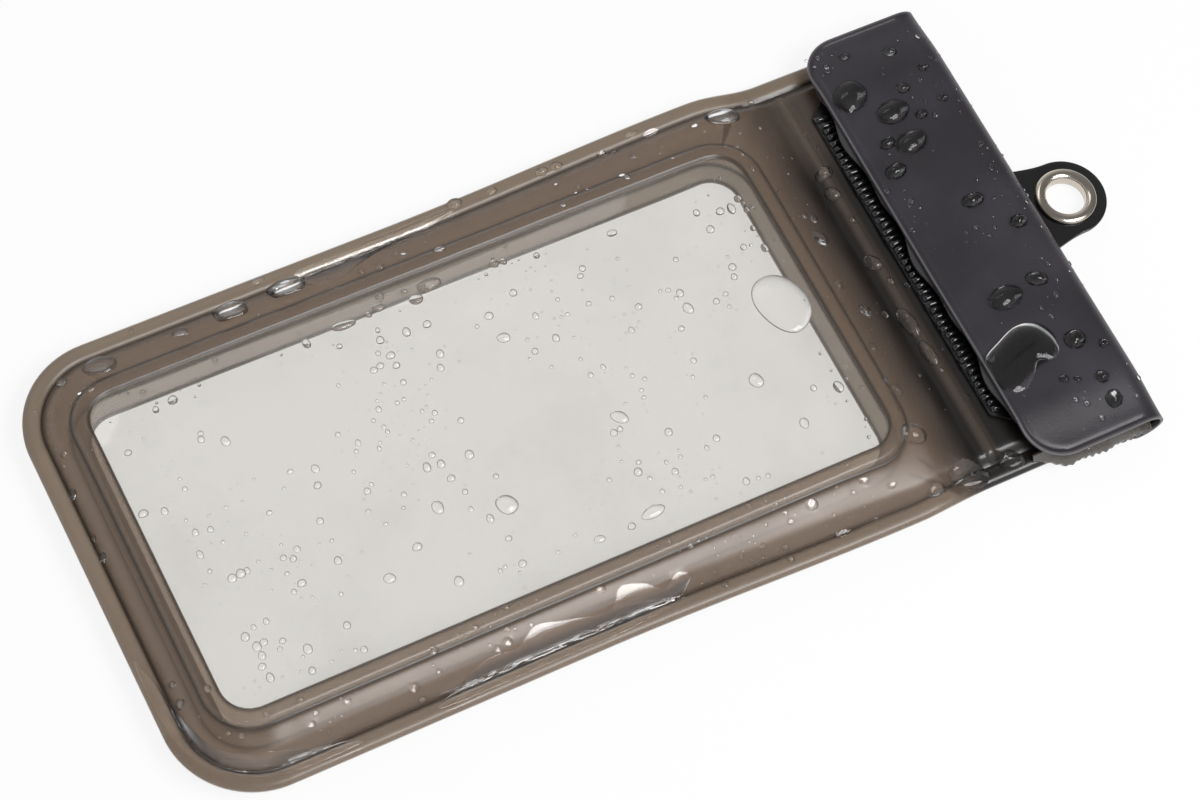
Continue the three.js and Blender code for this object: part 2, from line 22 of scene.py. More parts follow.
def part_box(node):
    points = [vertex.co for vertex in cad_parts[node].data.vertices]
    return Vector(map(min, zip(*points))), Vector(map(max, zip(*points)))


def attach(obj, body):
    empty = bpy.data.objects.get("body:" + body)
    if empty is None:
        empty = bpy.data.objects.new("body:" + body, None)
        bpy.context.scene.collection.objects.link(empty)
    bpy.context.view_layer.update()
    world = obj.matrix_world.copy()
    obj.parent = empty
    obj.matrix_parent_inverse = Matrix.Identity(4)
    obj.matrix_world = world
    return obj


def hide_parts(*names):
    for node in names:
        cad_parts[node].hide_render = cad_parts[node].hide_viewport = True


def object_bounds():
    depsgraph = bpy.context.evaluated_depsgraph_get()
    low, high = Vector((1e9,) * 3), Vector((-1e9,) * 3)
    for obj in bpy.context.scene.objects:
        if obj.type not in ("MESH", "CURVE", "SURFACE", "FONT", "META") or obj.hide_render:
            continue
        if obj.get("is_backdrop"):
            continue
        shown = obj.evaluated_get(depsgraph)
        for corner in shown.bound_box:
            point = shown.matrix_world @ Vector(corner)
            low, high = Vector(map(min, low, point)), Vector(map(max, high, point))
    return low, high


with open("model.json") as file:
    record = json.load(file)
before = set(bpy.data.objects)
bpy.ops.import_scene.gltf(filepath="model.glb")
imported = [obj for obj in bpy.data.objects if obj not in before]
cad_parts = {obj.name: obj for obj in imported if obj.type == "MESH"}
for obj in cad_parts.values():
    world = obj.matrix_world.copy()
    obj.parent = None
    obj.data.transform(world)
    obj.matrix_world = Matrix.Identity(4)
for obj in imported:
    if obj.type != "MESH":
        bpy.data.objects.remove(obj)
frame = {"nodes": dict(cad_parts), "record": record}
CAD_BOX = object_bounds()

MM = 0.001
SQUARE_CM_IN_SQUARE_M = 1e4
WATER_EDGE = 0.02
LOG = logging.getLogger("pouch")

Array = np.ndarray
HeightOf = Callable[[Array, Array], Array]


def smooth(value: Array) -> Array:
    """A step from 0 to 1 with level ends."""
    t = np.clip(value, 0.0, 1.0)
    return t * t * (3.0 - 2.0 * t)


def box_mm(node: str) -> tuple[Array, Array]:
    """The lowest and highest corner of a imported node, in millimetres."""
    low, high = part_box(node)
    return np.array(low) / MM, np.array(high) / MM


def beyond_corners(over_x: Array, over_y: Array, radius: float) -> Array:
    """Distance out from a box with rounded corners, negative inside it.

    Args:
        over_x: How far places lie beyond the corners' centres across the pouch.
        over_y: How far they lie beyond the corners' centres along it.
        radius: The corners' radius.

    Returns:
        The distances.
    """
    corner = np.hypot(np.maximum(over_x, 0), np.maximum(over_y, 0))
    return corner + np.minimum(np.maximum(over_x, over_y), 0) - radius


def ripple(x: Array, y: Array, scale: float, seed: int, octaves: int = 3) -> Array:
    """Smooth random waves over the plan.

    Args:
        x: Places across the pouch.
        y: Places along the pouch.
        scale: The longest wave's length, in millimetres.
        seed: Picks the waves.
        octaves: How many times the waves are added at half the length.

    Returns:
        Heights between about -1 and 1.
    """
    rng = np.random.default_rng(seed)
    total = np.zeros_like(x, dtype=float)
    for octave in range(octaves):
        for _ in range(5):
            angle = rng.uniform(0, 2 * math.pi)
            wave = 2 * math.pi * 2**octave / scale * rng.uniform(0.7, 1.3)
            phase = rng.uniform(0, 2 * math.pi)
            total += np.sin(wave * (x * math.cos(angle) + y * math.sin(angle)) + phase) / 2**octave
    return total / 5.0


class Value:
    """A socket that takes part in arithmetic, adding its Math nodes as it goes."""

    def __init__(self, graph: "Graph", socket: bpy.types.NodeSocket) -> None:
        """Keeps the socket and the graph that it belongs to."""
        self.graph = graph
        self.socket = socket

    def _math(self, operation: str, *terms: "Number", clamp: bool = False) -> "Value":
        """Adds one Math node and returns its output."""
        inputs = dict(enumerate(terms))
        made = self.graph.node("ShaderNodeMath", {"operation": operation, "use_clamp": clamp}, inputs)
        return Value(self.graph, made.outputs[0])

    def __add__(self, other: "Number") -> "Value":
        """Adds a number or a socket."""
        return self._math("ADD", self, other)

    __radd__ = __add__

    def __mul__(self, other: "Number") -> "Value":
        """Multiplies by a number or a socket."""
        return self._math("MULTIPLY", self, other)

    __rmul__ = __mul__

    def __sub__(self, other: "Number") -> "Value":
        """Takes a number or a socket away."""
        return self._math("SUBTRACT", self, other)

    def __rsub__(self, other: "Number") -> "Value":
        """Takes this socket away from a number."""
        return self._math("SUBTRACT", other, self)

    def maximum(self, other: "Number") -> "Value":
        """The larger of the two."""
        return self._math("MAXIMUM", self, other)

    def clamp(self) -> "Value":
        """The value kept between 0 and 1."""
        return self._math("ADD", self, 0.0, clamp=True)

    def band(self, low: float, high: float) -> "Value":
        """A smooth step from 0 at low to 1 at high."""
        made = self.graph.node(
            "ShaderNodeMapRange",
            {"interpolation_type": "SMOOTHSTEP"},
            {"Value": self, "From Min": low, "From Max": high},
        )
        return Value(self.graph, made.outputs["Result"])


Number = Union[float, Value]
Triple = tuple[float, float, float]
Colour = Triple


class NodeBuilder:
    """Adds nodes to a tree and links them."""

    tree: bpy.types.NodeTree

    def feed(self, socket: bpy.types.NodeSocket, value: object) -> None:
        """Links a value to a socket, or sets the socket's own value."""
        if isinstance(value, Value):
            value = value.socket
        if isinstance(value, bpy.types.NodeSocket):
            self.tree.links.new(value, socket)
        elif isinstance(value, tuple) and socket.type == "RGBA":
            socket.default_value = (*value, 1.0)
        else:
            socket.default_value = value

    def node(self, kind: str, settings: dict | None = None, inputs: dict | None = None) -> bpy.types.Node:
        """Adds a node.

        Args:
            kind: The node's type.
            settings: Its own settings, set first. The key stops gives a colour ramp its stops.
            inputs: Values or links for its sockets, by name or number.

        Returns:
            The new node.
        """
        made = self.tree.nodes.new(kind)
        for key, value in (settings or {}).items():
            if key == "stops":
                self._set_stops(made.color_ramp, value)
            else:
                setattr(made, key, value)
        for key, value in (inputs or {}).items():
            self.feed(made.inputs[key], value)
        return made

    @staticmethod
    def _set_stops(ramp: bpy.types.ColorRamp, stops: Sequence[tuple[float, float]]) -> None:
        """Gives a colour ramp grey stops, as places and levels."""
        while len(ramp.elements) < len(stops):
            ramp.elements.new(1.0)
        for element, (place, level) in zip(ramp.elements, stops):
            element.position = place
            element.color = (level, level, level, 1.0)


class Graph(NodeBuilder):
    """Builds the node tree of one material, or of the world."""

    def __init__(self, name: str, world: bool = False) -> None:
        """Makes an empty node material, or a world, of that name."""
        self.owner = (bpy.data.worlds if world else bpy.data.materials).new(name)
        self.end = "ShaderNodeOutputWorld" if world else "ShaderNodeOutputMaterial"
        self.owner.use_nodes = True
        self.tree = self.owner.node_tree
        self.tree.nodes.clear()

    def place(self) -> bpy.types.NodeSocket:
        """The object coordinates, in metres."""
        return self.node("ShaderNodeTexCoord").outputs["Object"]

    def attribute(self, name: str) -> Value:
        """A number that the mesh holds at each point."""
        made = self.node("ShaderNodeAttribute", {"attribute_name": name})
        return Value(self, made.outputs["Fac"])

    def noise(self, scale: float, detail: float = 2.0, roughness: float = 0.5) -> Value:
        """Noise over the object coordinates, with scale in waves a metre."""
        made = self.node(
            "ShaderNodeTexNoise",
            {"noise_dimensions": "3D"},
            {"Vector": self.place(), "Scale": scale, "Detail": detail, "Roughness": roughness},
        )
        return Value(self, made.outputs["Fac"])

    def blend(self, factor: Number, first: object, second: object) -> bpy.types.NodeSocket:
        """A colour between two colours."""
        made = self.node("ShaderNodeMix", {"data_type": "RGBA"}, {0: factor, 6: first, 7: second})
        return made.outputs[2]

    def bump(self, height: Value, distance: float, strength: float = 1.0) -> bpy.types.NodeSocket:
        """A normal raised by a height, at a distance in metres."""
        made = self.node("ShaderNodeBump", {}, {"Height": height, "Distance": distance, "Strength": strength})
        return made.outputs["Normal"]

    def mix(self, factor: Number, first: bpy.types.Node, second: bpy.types.Node) -> bpy.types.Node:
        """A shader between two shaders."""
        inputs = {0: factor, 1: first.outputs[0], 2: second.outputs[0]}
        return self.node("ShaderNodeMixShader", {}, inputs)

    def clear(self, tint: Colour) -> bpy.types.Node:
        """A see-through shader of one tint."""
        return self.node("ShaderNodeBsdfTransparent", {}, {"Color": tint})

    def principled(self, **inputs: object) -> bpy.types.Node:
        """A Principled shader, its sockets named with underscores for spaces."""
        named = {key.replace("_", " "): value for key, value in inputs.items()}
        return self.node("ShaderNodeBsdfPrincipled", {}, named)

    def glossed(self, base: bpy.types.Node, roughness: Number, normal: bpy.types.NodeSocket,
                straight: float = 0.04) -> bpy.types.Node:
        """Lays a clear gloss over a shader, stronger at a glancing angle.

        Args:
            base: The shader under the gloss.
            roughness: How blurred the gloss is.
            normal: The normal that the gloss follows.
            straight: The share that it reflects when looked at straight on.

        Returns:
            The glossed shader.
        """
        gloss = self.node("ShaderNodeBsdfGlossy", {}, {"Roughness": roughness, "Normal": normal})
        facing = self.node("ShaderNodeLayerWeight", {}, {"Blend": 0.5, "Normal": normal}).outputs["Facing"]
        glance = Value(self, facing)
        squared = glance * glance
        return self.mix(straight + squared * squared * glance * (1.0 - straight), base, gloss)

    def finish(self, shader: bpy.types.Node) -> bpy.types.ID:
        """Ends the tree in its shader and returns the material or world."""
        self.node(self.end, {}, {"Surface": shader.outputs[0]})
        return self.owner


@dataclass(frozen=True)
class SmokeFilm:
    """Smoke-brown translucent film: satin on its slopes and glossy at the closure, with painted shade that turns
    it nearly black there and painted light on the rim bead and the zip ridge.
    """

    tint: Colour = (0.86, 0.785, 0.715)
    body: Colour = (0.150, 0.110, 0.084)
    # The paler tan of the welds, also used as painted light on the rim bead and as a painted sheen on the zip
    # ridge.
    weld: Colour = (0.27, 0.215, 0.160)
    line: Colour = (0.030, 0.023, 0.018)
    shade: Colour = (0.011, 0.009, 0.008)
    opacity: float = 0.30
    roughness: float = 0.37
    wet_roughness: float = 0.22
    weld_opacity: float = 0.16
    line_opacity: float = 0.45
    shade_opacity: float = 0.58
    gloss: float = 0.055

    def material(self) -> bpy.types.Material:
        """Builds the film's material."""
        graph = Graph("smoke_film")
        wet = graph.attribute("wet")
        weld = graph.attribute("weld")
        line = graph.attribute("line")
        shade = graph.attribute("shade")
        cloud = graph.noise(45.0, 3.0)
        grain = graph.noise(3600.0, 2.0)
        sag = graph.noise(150.0, 2.0)
        # Painted light: this mark makes the rim bead paler, most on the far side, and lays a painted sheen on the
        # zip ridge; it also makes the weld band a little paler.
        body = graph.blend(weld, self.body, self.weld)
        # Painted shade: the shade mark turns the body nearly black and more opaque at the closure.
        body = graph.blend(shade, body, self.shade)
        body = graph.blend(line, body, self.line)
        blur = self.roughness + 0.12 * (cloud - 0.5) - wet * (self.roughness - self.wet_roughness)
        normal = graph.bump(grain * 0.04 + sag, 0.0003, 0.30)
        surface = graph.principled(Base_Color=body, Roughness=0.6, Specular_IOR_Level=0.0, Normal=normal)
        solid = self.opacity + 0.12 * cloud + self.weld_opacity * weld
        solid = solid + self.shade_opacity * shade + self.line_opacity * line
        film = graph.mix(solid.clamp(), graph.clear(self.tint), surface)
        return graph.finish(graph.glossed(film, blur.maximum(0.05), normal, self.gloss))


@dataclass(frozen=True)
class ClearFilm:
    """Clear glossy film of the windows, a little wavy."""

    tint: Colour = (0.966, 0.960, 0.948)
    body: Colour = (0.62, 0.60, 0.57)
    opacity: float = 0.04
    edge_opacity: float = 0.14
    roughness: float = 0.07

    def material(self) -> bpy.types.Material:
        """Builds the clear film's material."""
        graph = Graph("clear_film")
        wave = graph.bump(graph.noise(24.0, 1.5), 0.0022, 0.6)
        edge = graph.attribute("weld")
        haze = graph.noise(38.0, 3.0).band(0.45, 0.75)
        surface = graph.principled(Base_Color=self.body, Roughness=0.3, IOR=1.5, Normal=wave)
        solid = self.opacity + self.edge_opacity * edge + 0.05 * haze
        film = graph.mix(solid.clamp(), graph.clear(self.tint), surface)
        return graph.finish(graph.glossed(film, self.roughness, wave))


@dataclass(frozen=True)
class Vinyl:
    """Opaque vinyl: a base colour with a fine leathery grain, satin or glossy."""

    name: str
    colour: Colour
    worn: Colour
    roughness: float
    grain: float
    coat: float
    soaked: Colour = (0.005, 0.0045, 0.005)
    cut: Colour = (0.11, 0.105, 0.112)
    wet_roughness: float = 0.10

    def material(self) -> bpy.types.Material:
        """Builds the vinyl's material."""
        graph = Graph(self.name)
        cloud = graph.noise(60.0, 3.0)
        fine = graph.noise(2600.0, 3.0, 0.6)
        sag = graph.noise(130.0, 2.0)
        wet = graph.attribute("wet")
        colour = graph.blend(cloud.band(0.35, 0.75), self.colour, self.worn)
        colour = graph.blend(wet, colour, self.soaked)
        colour = graph.blend(graph.attribute("cut"), colour, self.cut)
        height = fine * self.grain * (1.0 - wet) + sag * 0.5
        gloss = self.roughness + 0.12 * (cloud - 0.5) - wet * (self.roughness - self.wet_roughness)
        shader = graph.principled(
            Base_Color=colour,
            Roughness=gloss.maximum(0.05),
            IOR=1.5,
            Coat_Weight=self.coat,
            Coat_Roughness=0.12,
            Normal=graph.bump(height, 0.0001, 0.5),
        )
        return graph.finish(shader)


@dataclass(frozen=True)
class ZipPlastic:
    """Dark glossy plastic of the press zips and of the crushed end of the mouth."""

    tint: Colour = (0.62, 0.54, 0.46)
    body: Colour = (0.060, 0.048, 0.038)
    opacity: float = 0.58
    roughness: float = 0.12
    gloss: float = 0.09

    def material(self) -> bpy.types.Material:
        """Builds the strip's material."""
        graph = Graph("zip_plastic")
        drawn = graph.noise(420.0, 2.0)
        surface = graph.principled(Base_Color=self.body, Roughness=0.14 + 0.2 * drawn, IOR=1.5)
        strip = graph.mix((self.opacity + 0.2 * drawn).clamp(), graph.clear(self.tint), surface)
        return graph.finish(graph.glossed(strip, self.roughness, graph.bump(drawn, 0.0005, 0.5), self.gloss))


@dataclass(frozen=True)
class TapeFabric:
    """Black hook and loop tape: matt, with a fine nap."""

    dark: Colour = (0.008, 0.008, 0.009)
    light: Colour = (0.03, 0.03, 0.033)

    def material(self) -> bpy.types.Material:
        """Builds the tape's material."""
        graph = Graph("tape_fabric")
        nap = graph.noise(3000.0, 3.0, 0.7)
        colour = graph.blend(nap, self.dark, self.light)
        shader = graph.principled(Base_Color=colour, Roughness=0.9, Normal=graph.bump(nap, 0.0003, 0.8))
        return graph.finish(shader)


@dataclass(frozen=True)
class Nickel:
    """Polished nickel plate, a little warm, with faint turning marks."""

    colour: Colour = (0.60, 0.54, 0.47)

    def material(self) -> bpy.types.Material:
        """Builds the plate's material."""
        graph = Graph("nickel")
        mark = graph.noise(900.0, 3.0)
        shader = graph.principled(
            Base_Color=self.colour,
            Metallic=1.0,
            Roughness=0.10 + 0.12 * mark,
            Normal=graph.bump(mark, 0.00003, 0.3),
        )
        return graph.finish(shader)


@dataclass(frozen=True)
class Water:
    """Clear water, which lets the lamps through, with painted shade in its colour where it turns away at a drop's
    rim.
    """

    index: float = 1.33
    rim: Colour = (0.10, 0.10, 0.11)
    shadow: Colour = (0.97, 0.97, 0.97)

    def material(self) -> bpy.types.Material:
        """Builds the water's material."""
        graph = Graph("water")
        ripple_height = graph.noise(500.0, 1.0)
        facing = graph.node("ShaderNodeLayerWeight", {}, {"Blend": 0.5}).outputs["Facing"]
        # Painted shade: the glass colour darkens towards each drop's rim, on the side that turns away.
        rim = Value(graph, facing).band(0.14, 0.55)
        glass = graph.principled(
            Base_Color=graph.blend(rim, (1.0, 1.0, 1.0), self.rim),
            Roughness=0.0,
            IOR=self.index,
            Transmission_Weight=1.0,
            Normal=graph.bump(ripple_height, 0.00005, 0.2),
        )
        shadow = graph.node("ShaderNodeLightPath").outputs["Is Shadow Ray"]
        return graph.finish(graph.mix(Value(graph, shadow), glass, graph.clear(self.shadow)))


class Finish(Enum):
    """The material slots of the record, each with the recipe of its finish."""

    SMOKE_FILM = SmokeFilm()
    CLEAR_FILM = ClearFilm()
    ZIP_PLASTIC = ZipPlastic()
    SATIN_VINYL = Vinyl("satin_vinyl", (0.021, 0.0178, 0.0228), (0.034, 0.029, 0.038), 0.40, 0.55, 0.0)
    GLOSS_VINYL = Vinyl("gloss_vinyl", (0.006, 0.006, 0.007), (0.010, 0.010, 0.011), 0.14, 0.12, 0.5)
    TAPE_FABRIC = TapeFabric()
    NICKEL = Nickel()
    WATER = Water()

    @property
    def slot(self) -> str:
        """The slot's name in the record."""
        return self.name.lower()

    @functools.cache
    def material(self) -> bpy.types.Material:
        """The finish's material, built the first time that it is asked for."""
        return self.value.material()


def plan_row(x: Array, y: float) -> Array:
    """Plan points along one row across the pouch."""
    return np.stack([x, np.full_like(x, y)], axis=1)


class Net:
    """A plan of four-sided cells, with each point held once."""

    def __init__(self) -> None:
        """Starts an empty net."""
        self.cells: list[Array] = []

    def rings(self, loops: Sequence[Array]) -> None:
        """Fills between closed loops of as many points, all anticlockwise, the outermost first."""
        for outer, inner in zip(loops, loops[1:]):
            after = np.roll(outer, -1, axis=0), np.roll(inner, -1, axis=0)
            self.cells.append(np.stack([outer, after[0], after[1], inner], axis=1))

    def rows(self, rows: Sequence[Array]) -> None:
        """Fills between rows of as many points, each further on and running to the right."""
        for low, high in zip(rows, rows[1:]):
            self.cells.append(np.stack([low[:-1], low[1:], high[1:], high[:-1]], axis=1))

    def merged(self) -> tuple[Array, Array]:
        """The net's points, and its cells as numbers of points."""
        cells = np.concatenate(self.cells)
        keys = np.round(cells.reshape(-1, cells.shape[-1]), 4) + 0.0
        points, index = np.unique(keys, axis=0, return_inverse=True)
        return points, index.reshape(-1, 4)


def linked(name: str, data: bpy.types.ID) -> bpy.types.Object:
    """Makes an object of its data and puts it in the scene."""
    made = bpy.data.objects.new(name, data)
    bpy.context.scene.collection.objects.link(made)
    return made


def new_piece(name: str, points: Array, faces: Iterable[Sequence[int]], finish: Finish) -> bpy.types.Object:
    """Makes a piece of the object.

    Args:
        name: The piece's name.
        points: Its points in millimetres.
        faces: Its faces as numbers of points, anticlockwise from outside.
        finish: What it is made of.

    Returns:
        The new object, at the origin, shaded smooth but for its sharp edges.
    """
    mesh = bpy.data.meshes.new(name)
    mesh.from_pydata((np.asarray(points) * MM).tolist(), [], [list(face) for face in faces])
    mesh.shade_smooth()
    mesh.set_sharp_from_angle(angle=math.radians(50))
    mesh.materials.append(finish.material())
    made = linked(name, mesh)
    finish.slot
    return made


def distinct(face: Sequence[int]) -> list[int]:
    """A face without points that stand in it twice in a row."""
    return [corner for i, corner in enumerate(face) if corner != face[i - 1]]


def solid_between(
    name: str,
    net: Net,
    lower: Callable[..., Array],
    upper: Callable[..., Array],
    finish: Finish,
) -> tuple[bpy.types.Object, Array]:
    """Makes the closed solid between two surfaces over a net.

    Args:
        name: The piece's name.
        net: Its plan.
        lower: Maps the numbers at each plan point to points on the under surface.
        upper: Maps the numbers at each plan point to points on the upper surface.
        finish: What it is made of.

    Returns:
        The new object, and the plan place of each of its points.
    """
    plan, cells = net.merged()
    count = len(plan)
    points = np.concatenate([upper(*plan.T), lower(*plan.T)])
    top = [distinct(cell) for cell in cells.tolist()]
    top = [cell for cell in top if len(cell) > 2]
    edges = {(cell[i - 1], corner) for cell in top for i, corner in enumerate(cell)}
    under = [[count + corner for corner in reversed(cell)] for cell in top]
    sides = [[a, a + count, b + count, b] for a, b in edges if (b, a) not in edges]
    made = new_piece(name, points, [*top, *under, *sorted(sides)], finish)
    return made, np.concatenate([plan, plan])


def mark(piece: bpy.types.Object, name: str, values: Array) -> None:
    """Writes a number at each point of a piece's mesh, for its material to read."""
    layer = piece.data.attributes.new(name, "FLOAT", "POINT")
    layer.data.foreach_set("value", np.asarray(values, dtype=np.float32))


def standing(height: HeightOf) -> Callable[[Array, Array], Array]:
    """Turns a height over the plan into points straight above it."""
    return lambda x, y: np.stack([x, y, height(x, y)], axis=1)


@dataclass
class PouchForm:
    """The bag's sizes in millimetres, and the heights of its films over the plan."""

    window_overlap: float = 1.0
    band_width: float = 3.4
    band_height: float = 0.45
    window_radius: float = 9.0
    bead_width: float = 3.4
    bead_height: float = 0.7
    pocket_half_width: float = 46.9
    shoulder_half_width: float = 48.4
    mouth_half_width: float = 47.2
    corner_radius: float = 17.0
    shoulder_margin: float = 5.4
    neck_margin: float = 1.0
    ramp_length: float = 9.95
    mouth_flank: float = 2.5
    weld_gap: float = 0.1
    film: float = 0.5
    window_film: float = 0.4
    weld_height: float = 5.0
    mouth_weld_height: float = 3.5
    mouth_gap: float = 1.4
    space_width: float = 70.6
    space_length: float = 136.6
    space_thickness: float = 8.6
    space_radius: float = 12.0
    space_offset: float = 3.3
    space_margin: float = 6.9
    space_clearance: float = 0.1
    slack: float = 3.0
    ridge_width: float = 2.0
    ridge_height: float = 0.5
    crease_height: float = 0.22
    near_crease: float = 0.2
    pucker_height: float = 0.08
    pucker_x: float = 24.0
    pucker_y: float = 22.0
    pucker_rate: float = 15.0
    wave_height: float = 0.09
    wave_length: float = 38.0
    groove_depth: float = 0.22
    groove_width: float = 0.3

    def __post_init__(self) -> None:
        """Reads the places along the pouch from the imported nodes."""
        sheet_low, sheet_high = box_mm("front_sheet")
        window_low, window_high = box_mm("front_window")
        zip_low, zip_high = box_mm("lower_zip_ribs")
        self.bottom = sheet_low[1]
        self.mouth = sheet_high[1]
        self.window_half_width = window_high[0] - self.window_overlap
        self.window_half_length = (window_high[1] - window_low[1]) / 2 - self.window_overlap
        self.window_centre = (window_high[1] + window_low[1]) / 2
        self.window_top = self.window_centre + self.window_half_length
        self.shoulder = self.window_top - self.shoulder_margin
        self.neck = self.window_top + self.window_overlap + self.bead_width + self.neck_margin
        self.closure = self.window_top + self.ramp_length
        self.ridge = (zip_low[1] + zip_high[1]) / 2
        self.space_centre = self.bottom + self.space_margin + self.space_length / 2
        self.floor = self.film + self.weld_gap + self.window_film
        room = self.space_thickness + self.space_clearance
        self.plateau = self.floor + room + self.window_film + self.weld_gap

    def half_width(self, y: Array) -> Array:
        """Half the bag's width at stations along it."""
        up = smooth((y - self.window_centre) / (self.shoulder - self.window_centre))
        body = self.pocket_half_width + (self.shoulder_half_width - self.pocket_half_width) * up
        on = smooth((y - self.shoulder) / (self.closure - self.shoulder))
        return body + (self.mouth_half_width - self.shoulder_half_width) * on

    def rim_distance(self, x: Array, y: Array) -> Array:
        """Distance in from the welded sides and bottom."""
        corner_x = self.pocket_half_width - self.corner_radius
        corner_y = self.bottom + self.corner_radius
        in_corner = (np.abs(x) > corner_x) & (y < corner_y)
        round_ = self.corner_radius - np.hypot(np.abs(x) - corner_x, y - corner_y)
        straight = np.minimum(self.half_width(y) - np.abs(x), y - self.bottom)
        return np.where(in_corner, round_, straight)

    def space_distance(self, x: Array, y: Array) -> Array:
        """Distance out from the space for a phone, drawn in by the film's slack over its edges, 0 inside it."""
        drawn_in = self.space_radius + self.slack
        over_x = np.abs(x - self.space_offset) - self.space_width / 2 + drawn_in
        over_y = np.abs(y - self.space_centre) - self.space_length / 2 + drawn_in
        return np.maximum(beyond_corners(over_x, over_y, self.space_radius), 0)

    def fullness(self, x: Array, y: Array) -> Array:
        """How far the film is lifted towards the pocket's full height, from 0 to 1."""
        inward = np.maximum(np.minimum(self.rim_distance(x, y) - self.bead_width, self.closure - y), 0)
        outward = self.space_distance(x, y)
        return np.sin(math.pi / 2 * inward / np.maximum(inward + outward, 1e-6))

    def rest(self, y: Array) -> Array:
        """Height of the plane in which the two sheets are welded."""
        start = self.window_top - self.band_width
        fall = smooth((y - start) / (self.closure - start))
        return self.weld_height + (self.mouth_weld_height - self.weld_height) * fall

    def gap(self, x: Array, y: Array) -> Array:
        """Half the gap that the sheets keep at the closure."""
        return self.mouth_gap * smooth((self.rim_distance(x, y) - self.bead_width) / self.mouth_flank)

    def crease(self, x: Array, y: Array) -> Array:
        """Soft folds of the front film between the window and the flap, and puckers round the corners."""
        near = smooth((y - self.window_top) / 5.0) * smooth((self.ridge - self.ridge_width - y) / 4.0)
        fan = np.sin((x + 0.5 * (y - self.window_top)) * 0.42 + 1.2) + 0.6 * np.sin(x * 0.23 - y * 0.1)
        inset = smooth((self.rim_distance(x, y) - self.bead_width - 0.5) / 4.0)
        corner = smooth((self.window_centre - self.window_half_length + 24.0 - y) / 20.0)
        over_x = np.abs(x) - self.pucker_x
        turn = np.arctan2(y - self.bottom - self.pucker_y, over_x)
        pucker = np.sin(turn * self.pucker_rate) * corner * smooth(over_x / 10.0)
        out = smooth(self.space_distance(x, y) / 3.0)
        near *= self.crease_height + self.near_crease * smooth((x - 12.0) / 22.0)
        waves = self.wave_height * out * ripple(x, y, self.wave_length, 5)
        return inset * (near * fan + self.pucker_height * pucker * out + waves)

    def front_inner(self, x: Array, y: Array) -> Array:
        """Height of the front sheet's under surface."""
        full = self.fullness(x, y)
        rest = self.rest(y)
        half = self.weld_gap / 2
        return rest + half + (self.gap(x, y) - half) * (1 - full) + (self.plateau - rest) * full

    def rear_inner(self, x: Array, y: Array) -> Array:
        """Height of the rear sheet's upper surface."""
        full = self.fullness(x, y)
        rest = self.rest(y)
        half = self.weld_gap / 2
        return rest - half - (self.gap(x, y) - half) * (1 - full) - (rest - self.film) * full

    def bead(self, x: Array, y: Array) -> Array:
        """The rim bead's height above the film."""
        across = 2 * self.rim_distance(x, y) / self.bead_width - 1
        return self.bead_height * np.sqrt(np.maximum(1 - across**2, 0))

    def window_distance(self, x: Array, y: Array) -> Array:
        """Distance out from a window's inner weld line, negative inside it."""
        radius = self.window_radius - self.band_width
        over_x = np.abs(x) - self.window_half_width + self.band_width + radius
        over_y = np.abs(y - self.window_centre) - self.window_half_length + self.band_width + radius
        return beyond_corners(over_x, over_y, radius)

    def band(self, x: Array, y: Array) -> Array:
        """The weld band's height above the film, with a groove pressed along each side."""
        outward = self.window_distance(x, y)
        shoulder = self.band_width / 4
        rise = np.clip(outward / shoulder, 0, 1) * np.clip((self.band_width - outward) / shoulder, 0, 1)
        outer = (outward - self.band_width - 0.35) / self.groove_width
        groove = np.exp(-(outer**2)) + np.exp(-((outward / self.groove_width) ** 2))
        return self.band_height * smooth(rise) - self.groove_depth * groove

    def zip_ridge(self, x: Array, y: Array) -> Array:
        """The ridge that the lower zip raises in the front sheet."""
        along = np.clip((self.rim_distance(x, y) - self.bead_width) / self.ridge_width, 0, 1)
        across = 2 * (y - self.ridge) / self.ridge_width
        return self.ridge_height * along * np.sqrt(np.maximum(1 - across**2, 0))

    def front_top(self, x: Array, y: Array) -> Array:
        """Height of the front sheet's upper surface."""
        raised = self.bead(x, y) + self.band(x, y) + self.zip_ridge(x, y)
        return self.front_inner(x, y) + self.film + raised + self.crease(x, y)

    def window_top_height(self, x: Array, y: Array) -> Array:
        """Height of the front window's upper surface."""
        return self.front_inner(x, y) - self.weld_gap

    def visible_top(self, x: Array, y: Array) -> Array:
        """Height of whatever film is uppermost."""
        on_sheet = self.window_distance(x, y) > 0
        return np.where(on_sheet, self.front_top(x, y), self.window_top_height(x, y))


